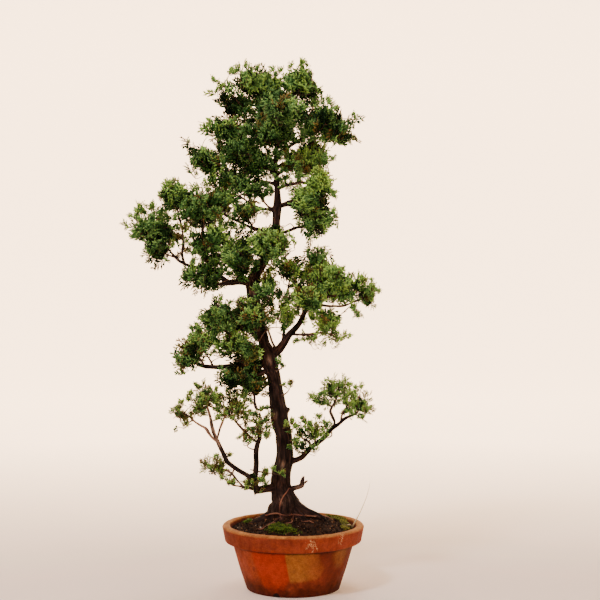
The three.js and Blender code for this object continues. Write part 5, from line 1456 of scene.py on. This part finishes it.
def spray_shape(draw, forks, pairs, spread, droop):
    """One spray, 1 long and lying along +X: its points, where each lies in the colour map,
    and its triangles. Branchlets stand alternately along it, and the longer ones fork."""
    slips = [((0, 0, 0), (0.55, 0, 0.02), 0.06), ((0.42, 0, 0.01), (1, 0, 0), 0.125)]
    for k in range(2 * pairs):
        along = 0.12 + 0.8 * (k + draw.uniform(-0.3, 0.3)) / (2 * pairs)
        side = 1 if k % 2 else -1
        angle = math.radians(45 - 20 * along + draw.uniform(-8, 8))
        reach = spread * (1 - 0.5 * along**1.5) * min(1, 0.7 + 1.6 * along) * draw.uniform(0.85, 1.1)
        lift = draw.uniform(-0.15, 0.4)
        heading = np.array((math.cos(angle), side * math.sin(angle), lift))
        start = np.array((along, 0, 0))
        slips.append((start, start + reach * heading, 0.13))
        if k < forks:
            turn = angle * side - side * math.radians(34)
            branch = np.array((math.cos(turn), math.sin(turn), lift + 0.12)) * reach * 0.5
            foot = start + reach * 0.42 * heading
            slips.append((foot, foot + branch, 0.12))
    points, spots = [], []
    for start, end, width in slips:
        start, end = np.array(start, float), np.array(end, float)
        heading = end - start
        size = np.linalg.norm(heading[:2])
        left = np.array((-heading[1], heading[0], 0)) / size * width / 2
        waist = start + heading * SLIP_WAIST
        drop = np.array((0, 0, width * 0.45))
        slip = np.array([start, waist + left - drop, waist - left - drop, end])
        slip[:, 2] += 0.16 * np.abs(slip[:, 1]) - droop * slip[:, 0] ** 2
        points.append(slip)
        out_along = 0.42 * slip[:, 0] + 0.55 * np.array([0, 0.5, 0.5, 1])
        spots.append(np.column_stack([out_along, TONE_WIDTH * np.array([0, 1, -1, 0])]))
    faces = (SLIP_FACES[None] + 4 * np.arange(len(slips))[:, None, None]).reshape(-1, 3)
    return np.vstack(points), np.vstack(spots).clip(0.02, 0.98), faces


def spray_shapes(name, forks):
    draw = draw_for(name)
    return [spray_shape(draw, forks, *plan) for plan in SPRAY_PLANS]


def stamp(shapes, draw, feet, axes, sizes, tones, flats):
    """Copies of the spray shapes, each at its foot, turned to its axis and flat side."""
    axes = unit(axes)
    flats = square_to(flats, axes)
    left = np.cross(flats, axes)
    which = draw.integers(len(shapes), size=len(feet))
    copies, spots = [], []
    for number, (local, spot, triangles) in enumerate(shapes):
        chosen = np.flatnonzero(which == number)
        if not len(chosen):
            continue
        x, y, z = (local[None, :, k, None] for k in range(3))
        turned = x * axes[chosen, None] + y * left[chosen, None] + z * flats[chosen, None]
        points = (feet[chosen, None] + sizes[chosen, None, None] * turned).reshape(-1, 3)
        tone = np.repeat(tones[chosen].clip(0.03, 0.97)[:, None], len(local), axis=1)
        spot_at = np.stack([np.broadcast_to(spot[:, 0], tone.shape), tone + spot[:, 1]], -1)
        spots.append(spot_at.reshape(-1, 2))
        shifts = len(local) * np.arange(len(chosen))
        copies.append((points, (triangles[None] + shifts[:, None, None]).reshape(-1, 3)))
    return *gather(copies), np.vstack(spots)


def sprays_on(draw, look, feet, axes, flats, lengths, tones):
    """The sprays along some plumes, set alternately left and right, with one at each tip:
    their feet, axes, sizes, tones and flat sides."""
    _, rust, _, _, spray, _ = look
    made = []
    left = np.cross(flats, axes)
    for k in range(SPRAYS_PER_PLUME):
        last = k == SPRAYS_PER_PLUME - 1
        along = 0.1 + 0.9 * k / (SPRAYS_PER_PLUME - 1)
        side = 0 if last else (1 if k % 2 else -1)
        angle = np.radians(52 - 30 * along + draw.normal(0, 8, len(feet))) * side
        heading = axes * np.cos(angle)[:, None] + left * np.sin(angle)[:, None]
        heading = unit(heading + 0.2 * draw.normal(size=feet.shape) + 0.2 * UP)
        size = spray * MM * (1.1 - 0.25 * along) * draw.uniform(0.75, 1.15, len(feet))
        bend = flats * (np.sin(along * 2.2) * 0.09 * lengths)[:, None]
        tone = tones + 0.1 * (along - 0.6) + draw.normal(0, 0.05, len(feet))
        dying = draw.random(len(feet)) < rust
        tone = np.where(dying, draw.uniform(*DYING_TONES, len(feet)), tone)
        place = feet + axes * (lengths * along)[:, None] + bend
        made.append((place, heading, size, tone, flats + 0.45 * draw.normal(size=feet.shape)))
    return [np.concatenate(parts) for parts in zip(*made)]


def leave_gaps(feet, axes, sizes, *others):
    """The same sprays without those whose tips would close one of the gaps."""
    free = light_passes(feet + unit(axes) * sizes[:, None])
    return [part[free] for part in (feet, axes, sizes, *others)]


def spread_out(draw, points, count):
    """The indices of count points that lie well apart from each other."""
    chosen = [int(draw.integers(len(points)))]
    away = np.linalg.norm(points - points[chosen[0]], axis=1)
    while len(chosen) < min(count, len(points)):
        trial = draw.integers(len(points), size=12)
        best = int(trial[np.argmax(away[trial])])
        chosen.append(best)
        away = np.minimum(away, np.linalg.norm(points - points[best], axis=1))
    return chosen


def cloud_shells():
    """The surface of each cloud of foliage in the frame."""
    shells = {}
    for name, node in frame["nodes"].items():
        if not name.startswith("foliage_"):
            continue
        points, faces = arrays_of(node.data)
        corners = points[faces]
        across = np.cross(corners[:, 1] - corners[:, 0], corners[:, 2] - corners[:, 0])
        shells[name.removeprefix("foliage_")] = {
            "corners": corners,
            "areas": np.linalg.norm(across, axis=1) / 2,
            "normals": unit(across),
            "tree": search_tree(points, faces),
            "low": points.min(0),
            "high": points.max(0),
        }
    return shells


def buried(point, shells, name, depth):
    """True if a point lies deeper than depth inside another cloud."""
    for other, shell in shells.items():
        if other == name or (point < shell["low"]).any() or (point > shell["high"]).any():
            continue
        place, normal, _, away = shell["tree"].find_nearest(Vector(point))
        if away > depth and (Vector(point) - place).dot(normal) < 0:
            return True
    return False


def points_on(draw, shell, count):
    """Random points all over a cloud's surface, and the directions out of it there."""
    share = shell["areas"] / shell["areas"].sum()
    face = draw.choice(len(share), count, p=share)
    a, b = draw.random((2, count))
    turn = a + b > 1
    a, b = np.where(turn, 1 - a, a), np.where(turn, 1 - b, b)
    corner = shell["corners"][face]
    points = corner[:, 0] + a[:, None] * (corner[:, 1] - corner[:, 0])
    points += b[:, None] * (corner[:, 2] - corner[:, 0])
    from_middle = unit(points - (shell["low"] + shell["high"]) / 2)
    return points, unit(shell["normals"][face] + 0.7 * from_middle)


def plumes_of(draw, name, shells, look, fullness):
    """Where the plumes of one cloud stand: feet, axes, flat sides, lengths and tones."""
    tone, _, density, reach, spray, inside = look
    shell = shells[name]
    count = max(5, round(shell["areas"].sum() * 1e4 * density * fullness))
    points, outward = points_on(draw, shell, 14 * count)
    made = []
    for index in spread_out(draw, points, count):
        point, normal = points[index], outward[index]
        if buried(point + normal * 3 * MM, shells, name, 4 * MM) and draw.random() < 0.85:
            continue
        inner = draw.random() < inside
        lift = 0.5 if normal[2] > -0.3 else 0.15
        sway = draw.normal(size=3) * 0.3
        axis = unit(normal * draw.uniform(0.45, 1) + UP * lift + sway)
        tip = point + normal * (draw.uniform(-4, 5) if density > 0.6 else draw.uniform(-6, 9)) * MM
        if inner:
            tip = point - normal * draw.uniform(5, 12) * MM
        hit = shell["tree"].ray_cast(Vector(point - normal * MM), Vector(-axis))
        room = hit[3] if hit[0] is not None else 8 * MM
        size = min(max(0.85 * room, 1.25 * spray * MM), reach * draw.uniform(0.75, 1.15) * MM)
        flat = unit(normal * 0.9 + UP * 0.35 + 0.5 * draw.normal(size=3))
        patch = noise(point[None], 0.028, 17)[0] - 0.5
        # Plumes inside the cloud are painted nearly black, as shade.
        if inner:
            shade = draw.uniform(*PAINTED_SHADE_TONES)
        else:
            # Painted light and shade: sprays on the top of a cloud are painted lighter and those under it
            # darker.
            shade = tone + 0.17 * normal[2] + 0.24 * patch + draw.normal(0, 0.04)
        made.append((tip - axis * size, axis, flat, size - 0.8 * spray * MM, shade))
    feet, axes, flats, lengths, tones = (np.array(part) for part in zip(*made))
    return feet, axes, square_to(flats, axes), lengths, tones


def tufts_of(draw):
    """The sprays of the small tufts, as in sprays_on but for the flat sides, and the feet,
    axes and lengths of their stems."""
    wood_at = np.vstack([follow(limb, 3 * MM, KINK)[0] for limb in (TRUNK, *LIMBS, *FINE_LIMBS)])
    seen = seen_from_front(wood_at)
    sprays, stems = [], []
    for x, z, reach, light, *depth in TUFTS:
        source = wood_at[np.argmin(flat_distance(seen, x, z))]
        y = depth[0] * MM if depth else source[1] + draw.uniform(-9, 3) * MM
        sight = np.array((x * MM, 0, z * MM)) - VIEWPOINT
        middle = VIEWPOINT + sight * (1 - y / VIEWPOINT[1])
        outward = unit(middle - source + UP * 4 * MM)
        stems.append((middle - outward * reach * 0.5 * MM, outward, reach * 0.8 * MM))
        for _ in range(round(3 + 0.6 * reach)):
            away = unit(draw.normal(size=3) + outward + UP * 0.3)
            foot = middle - away * reach * 0.45 * MM + draw.normal(size=3) * 0.15 * reach * MM
            size = (2.5 + reach * draw.uniform(0.8, 1.2)) * MM
            if z < LOW_TIER and draw.random() < (FADED_LEFT if x < 0 else FADED_RIGHT):
                tone = draw.uniform(*DYING_TUFT_TONES)
            else:
                # Painted light: tuft sprays that point up are painted lighter.
                tone = light + 0.1 * away[2] + draw.normal(0, 0.05)
            sprays.append((foot, away, size, tone))
    return [tuple(np.array(part) for part in zip(*parts)) for parts in (sprays, stems)]


def leafy(name, shape, material, slot, *nodes):
    """One finished piece of sprays, with its place in the colour map."""
    points, faces, spots = shape
    piece = build(name, points, faces, material)
    layer = piece.data.uv_layers.new(name="OFBake")
    layer.uv.foreach_set("vector", spots[faces.ravel()].astype(np.float32).ravel())
    hand_over(piece, slot, *nodes)


TWIG_ENDS = []  # for each cloud, the feet, axes and lengths of its plumes, for the fine twigs


class BONSAI_OT_foliage(bpy.types.Operator):
    """Makes the leafy sprays of each cloud, and the small tufts between the clouds"""

    bl_idname = "bonsai.foliage"
    bl_label = "Foliage"
    bl_options = {"REGISTER", "UNDO"}

    def execute(self, context):
        settings = context.scene.bonsai_foliage
        shells = cloud_shells()
        looks = {name: look for look, names in FOLIAGE.items() for name in names.split()}
        if set(looks) != set(shells):
            raise RuntimeError("the foliage table and the frame's clouds do not match")
        materials = {
            "foliage_young": scale_leaves("young scale leaves", settings, 0.5),
            "foliage": scale_leaves("scale leaves", settings, 0.55),
            "foliage_rusty": scale_leaves("thin rusty scale leaves", settings, 0.65),
        }
        slots = {p["node"]: p["material_slot"] for p in frame["record"]["subparts"]}
        dense, open_shapes = spray_shapes("sprays", 2), spray_shapes("open sprays", 4)
        TWIG_ENDS.clear()
        for name, look_name in looks.items():
            draw = draw_for(name)
            look = LOOKS[look_name]
            plumes = plumes_of(draw, name, shells, look, settings.fullness)
            feet, axes, _, lengths, _ = plumes
            TWIG_ENDS.append((feet, axes, lengths))
            shapes = open_shapes if look_name in ("sparse", "olive", "rusty") else dense
            sprays = leave_gaps(*sprays_on(draw, look, *plumes))
            tones = sprays[3]
            tones[np.argmin(tones)] = NEARLY_BLACK  # each cloud has one such and one dead spray
            tones[np.argmax(tones)] = DEAD
            node = f"foliage_{name}"
            shape = stamp(shapes, draw, *sprays)
            leafy(f"{name}_sprays", shape, materials[slots[node]], slots[node], node)

        draw = draw_for("tufts")
        sprays, stems = tufts_of(draw)
        TWIG_ENDS.append(stems)
        feet, axes, sizes, tones = leave_gaps(*sprays)
        tones[0], tones[1] = NEARLY_BLACK, DEAD
        shape = stamp(open_shapes, draw, feet, axes, sizes, tones, draw.normal(size=axes.shape))
        leafy("loose_tufts", shape, materials["foliage"], "foliage")
        return {"FINISHED"}


def twig_route(draw, root, wide, foot, axis, size):
    """A twig's points and radii: it leaves the wood at root, where that is wide metres in
    radius, and ends along its plume, which has a foot, an axis and a size."""
    gap = max(np.linalg.norm(foot - root), 1e-4)
    leave = unit((foot - root) / gap + 0.5 * UP + 0.35 * draw.normal(size=3)) * gap
    part = np.linspace(0, 1, 5)[:, None]
    path = (
        (2 * part**3 - 3 * part**2 + 1) * root
        + (part**3 - 2 * part**2 + part) * leave
        + (3 * part**2 - 2 * part**3) * foot
        + (part**3 - part**2) * axis * gap
    )
    path = np.vstack([path, foot + axis * size * 0.45, foot + axis * size * 0.9])
    thick = min(wide * 0.75, 0.85 * MM)
    radii = np.interp(np.arange(7), (0, 4, 6), (thick, max(0.42 * MM, thick * 0.6), 0.2 * MM))
    return path, radii


class BONSAI_OT_fine_twigs(bpy.types.Operator):
    """Grows the fine twigs that carry the plumes from the nearest wood"""

    bl_idname = "bonsai.fine_twigs"
    bl_label = "Fine twigs"
    bl_options = {"REGISTER", "UNDO"}

    def execute(self, context):
        if not TWIG_ENDS:
            raise RuntimeError("make the foliage before the fine twigs")
        draw = draw_for("twigs")
        wood = [follow(limb, 3 * MM, KINK) for limb in [TRUNK, *LIMBS[len(ROOTS) :], *FINE_LIMBS]]
        wood_at = np.vstack([spine[0] for spine in wood])
        wood_size = np.concatenate([spine[1] for spine in wood])
        shapes, places = [], []

        def grow(route, around, kink=0):
            spine = follow(route, 4 * MM, kink)
            shapes.append(tube(*spine[:4], around))
            places.append(bark_place(shapes[-1][0], spine)[0])

        for limb in FINE_LIMBS:
            grow(limb, 6, KINK)
        for feet, axes, lengths in TWIG_ENDS:
            nearest = np.linalg.norm(feet[:, None] - wood_at[None], axis=2).min(axis=1)
            near_at, near_size = wood_at, wood_size
            for k in np.argsort(nearest):
                foot, axis = feet[k], axes[k]
                away = np.linalg.norm(near_at - foot, axis=1)
                # A twig leaves the wood below its foot rather than beyond it.
                behind = np.einsum("ij,j->i", foot - near_at, axis) / np.maximum(away, SAME_PLACE)
                start = np.argmin(away * (1.35 - 0.35 * behind) - 0.6 * near_size)
                route = twig_route(draw, near_at[start], near_size[start], foot, axis, lengths[k])
                path, radii = route
                grow(np.column_stack(route) / MM, 4)
                near_at = np.vstack([near_at, path[1:5]])
                near_size = np.append(near_size, radii[1:5] * 0.9)
        twigs = build("fine_twigs", *gather(shapes), bpy.data.materials[BARK_NAME])
        give_attribute(twigs, "bark", np.vstack(places))
        give_attribute(twigs, "torn", np.full(len(twigs.data.vertices), TWIG_TORN))
        hand_over(twigs, "bark")
        return {"FINISHED"}


# ---- Panel and registration ----
OPERATORS = (
    BONSAI_OT_stage,
    BONSAI_OT_clay_pot,
    BONSAI_OT_drain_screens,
    BONSAI_OT_soil,
    BONSAI_OT_moss,
    BONSAI_OT_dry_grass,
    BONSAI_OT_wood,
    BONSAI_OT_foliage,
    BONSAI_OT_fine_twigs,
)
SETTINGS = {
    "bonsai_pot": PotSettings,
    "bonsai_ground": GroundSettings,
    "bonsai_wood": WoodSettings,
    "bonsai_foliage": FoliageSettings,
    "bonsai_stage": StageSettings,
}


class VIEW3D_PT_bonsai(bpy.types.Panel):
    """Lists the settings and the steps that build the bonsai"""

    bl_label = "Hinoki cypress bonsai"
    bl_idname = "VIEW3D_PT_bonsai"
    bl_space_type = "VIEW_3D"
    bl_region_type = "UI"
    bl_category = "Bonsai"

    def draw(self, context):
        for name, group in SETTINGS.items():
            box = self.layout.box()
            for prop in group.__annotations__:
                box.prop(getattr(context.scene, name), prop)
        for operator in OPERATORS:
            self.layout.operator(operator.bl_idname)


def register():
    for item in (*SETTINGS.values(), *OPERATORS, VIEW3D_PT_bonsai):
        bpy.utils.register_class(item)
    for name, group in SETTINGS.items():
        setattr(bpy.types.Scene, name, bpy.props.PointerProperty(type=group))


def unregister():
    for name in SETTINGS:
        delattr(bpy.types.Scene, name)
    for item in reversed((*SETTINGS.values(), *OPERATORS, VIEW3D_PT_bonsai)):
        bpy.utils.unregister_class(item)


def main():
    register()
    clear_selection()
    for operator in OPERATORS:
        group, step = operator.bl_idname.split(".")
        getattr(getattr(bpy.ops, group), step)()


if __name__ == "__main__":
    main()
